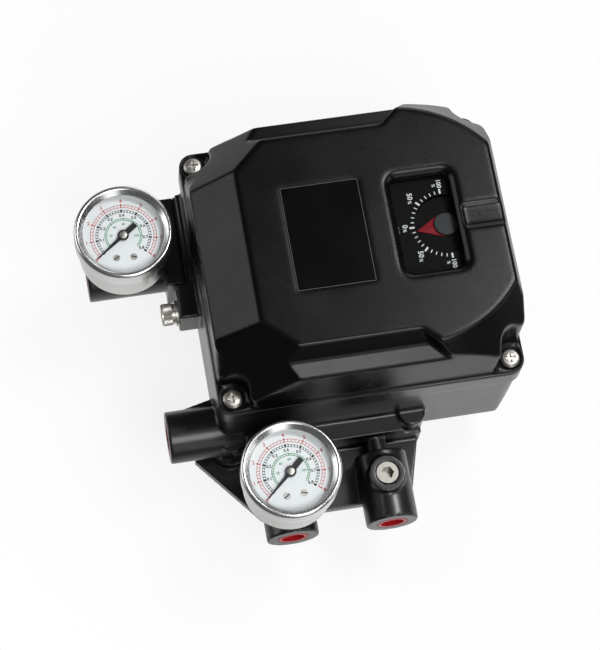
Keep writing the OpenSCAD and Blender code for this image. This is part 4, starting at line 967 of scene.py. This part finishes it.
# %% Knurl the ground screw
# Where the ground screw's head meets its washers
HEAD_SEAT = -118.1 * MM
FROM_END, FROM_SEAT = 0.7 * MM, 0.5 * MM
KNURL_CORNERS = 120
VALLEY, RIDGE, SUNK = 0.02 * MM, 0.2 * MM, 0.4 * MM


def knurl_ring(shape, radius):
    """The vertices of a new ring with the knurl's number of corners."""
    return bmesh.ops.create_circle(shape, cap_ends=False, segments=KNURL_CORNERS,
                                   radius=radius)["verts"]


def loop_edges(verts):
    """The edges of a ring of vertices."""
    return list({e for v in verts for e in v.link_edges})


low, high = [Vector(p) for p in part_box("ground_screw")]
head_r = (high.z - low.z) / 2
knurl_start, knurl_end = low.x + FROM_END, HEAD_SEAT - FROM_SEAT
knurl = bmesh.new()
outer = knurl_ring(knurl, head_r + VALLEY)
for vert in outer[::2]:
    vert.co *= (head_r + RIDGE) / (head_r + VALLEY)
inner = knurl_ring(knurl, head_r - SUNK)
bmesh.ops.bridge_loops(knurl, edges=loop_edges(outer) + loop_edges(inner))
made = bmesh.ops.extrude_face_region(knurl, geom=list(knurl.faces))
bmesh.ops.translate(knurl, verts=verts_in(made["geom"]), vec=(0, 0, knurl_end - knurl_start))
bmesh.ops.rotate(knurl, verts=knurl.verts, cent=(0, 0, 0),
                 matrix=Matrix.Rotation(radians(90), 3, "Y"))
bmesh.ops.translate(knurl, verts=knurl.verts,
                    vec=(knurl_start, (low.y + high.y) / 2, (low.z + high.z) / 2))
bmesh.ops.recalc_face_normals(knurl, faces=list(knurl.faces))
add_piece("ground_screw_knurl", knurl, [STAINLESS], "positioner")
print("knurl of", round((knurl_end - knurl_start) / MM, 2), "mm")

# %% [markdown]
# ## Springs
# Two springs inside are drawn out or pressed as the mechanism moves. The feedback
# spring hangs on the follower's hook and is put on no body. Its wire end at the beam
# is cut a little shorter, which leaves the beam room to tilt. The short spring at the
# zero knob is pressed by the beam; its copy keeps the solid's shape.

# %% Copy the springs
WIRE_END, WIRE_CUT = 1 * MM, 0.45 * MM
SPRING_SHARP = radians(40)
low, high = [Vector(p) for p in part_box("feedback_spring")]
coil = merged_copy("feedback_spring")
wire_end = [v for v in coil.verts if v.co.x < low.x + WIRE_END]
bmesh.ops.translate(coil, verts=wire_end, vec=(WIRE_CUT, 0, 0))
drawn_spring = add_piece("feedback_spring_coil", coil, [SPRING_STEEL], None,
                         ["feedback_spring"])
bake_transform(drawn_spring)
low, high = [Vector(p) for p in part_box("zero_spring")]
pressed_spring = add_piece("zero_spring_coil", merged_copy("zero_spring"), [SPRING_STEEL],
                           "positioner", ["zero_spring"])
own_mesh(pressed_spring)
for spring in (drawn_spring, pressed_spring):
    spring.data.shade_smooth()
    spring.data.set_sharp_from_angle(angle=SPRING_SHARP)
print("springs:", drawn_spring.name, pressed_spring.name)
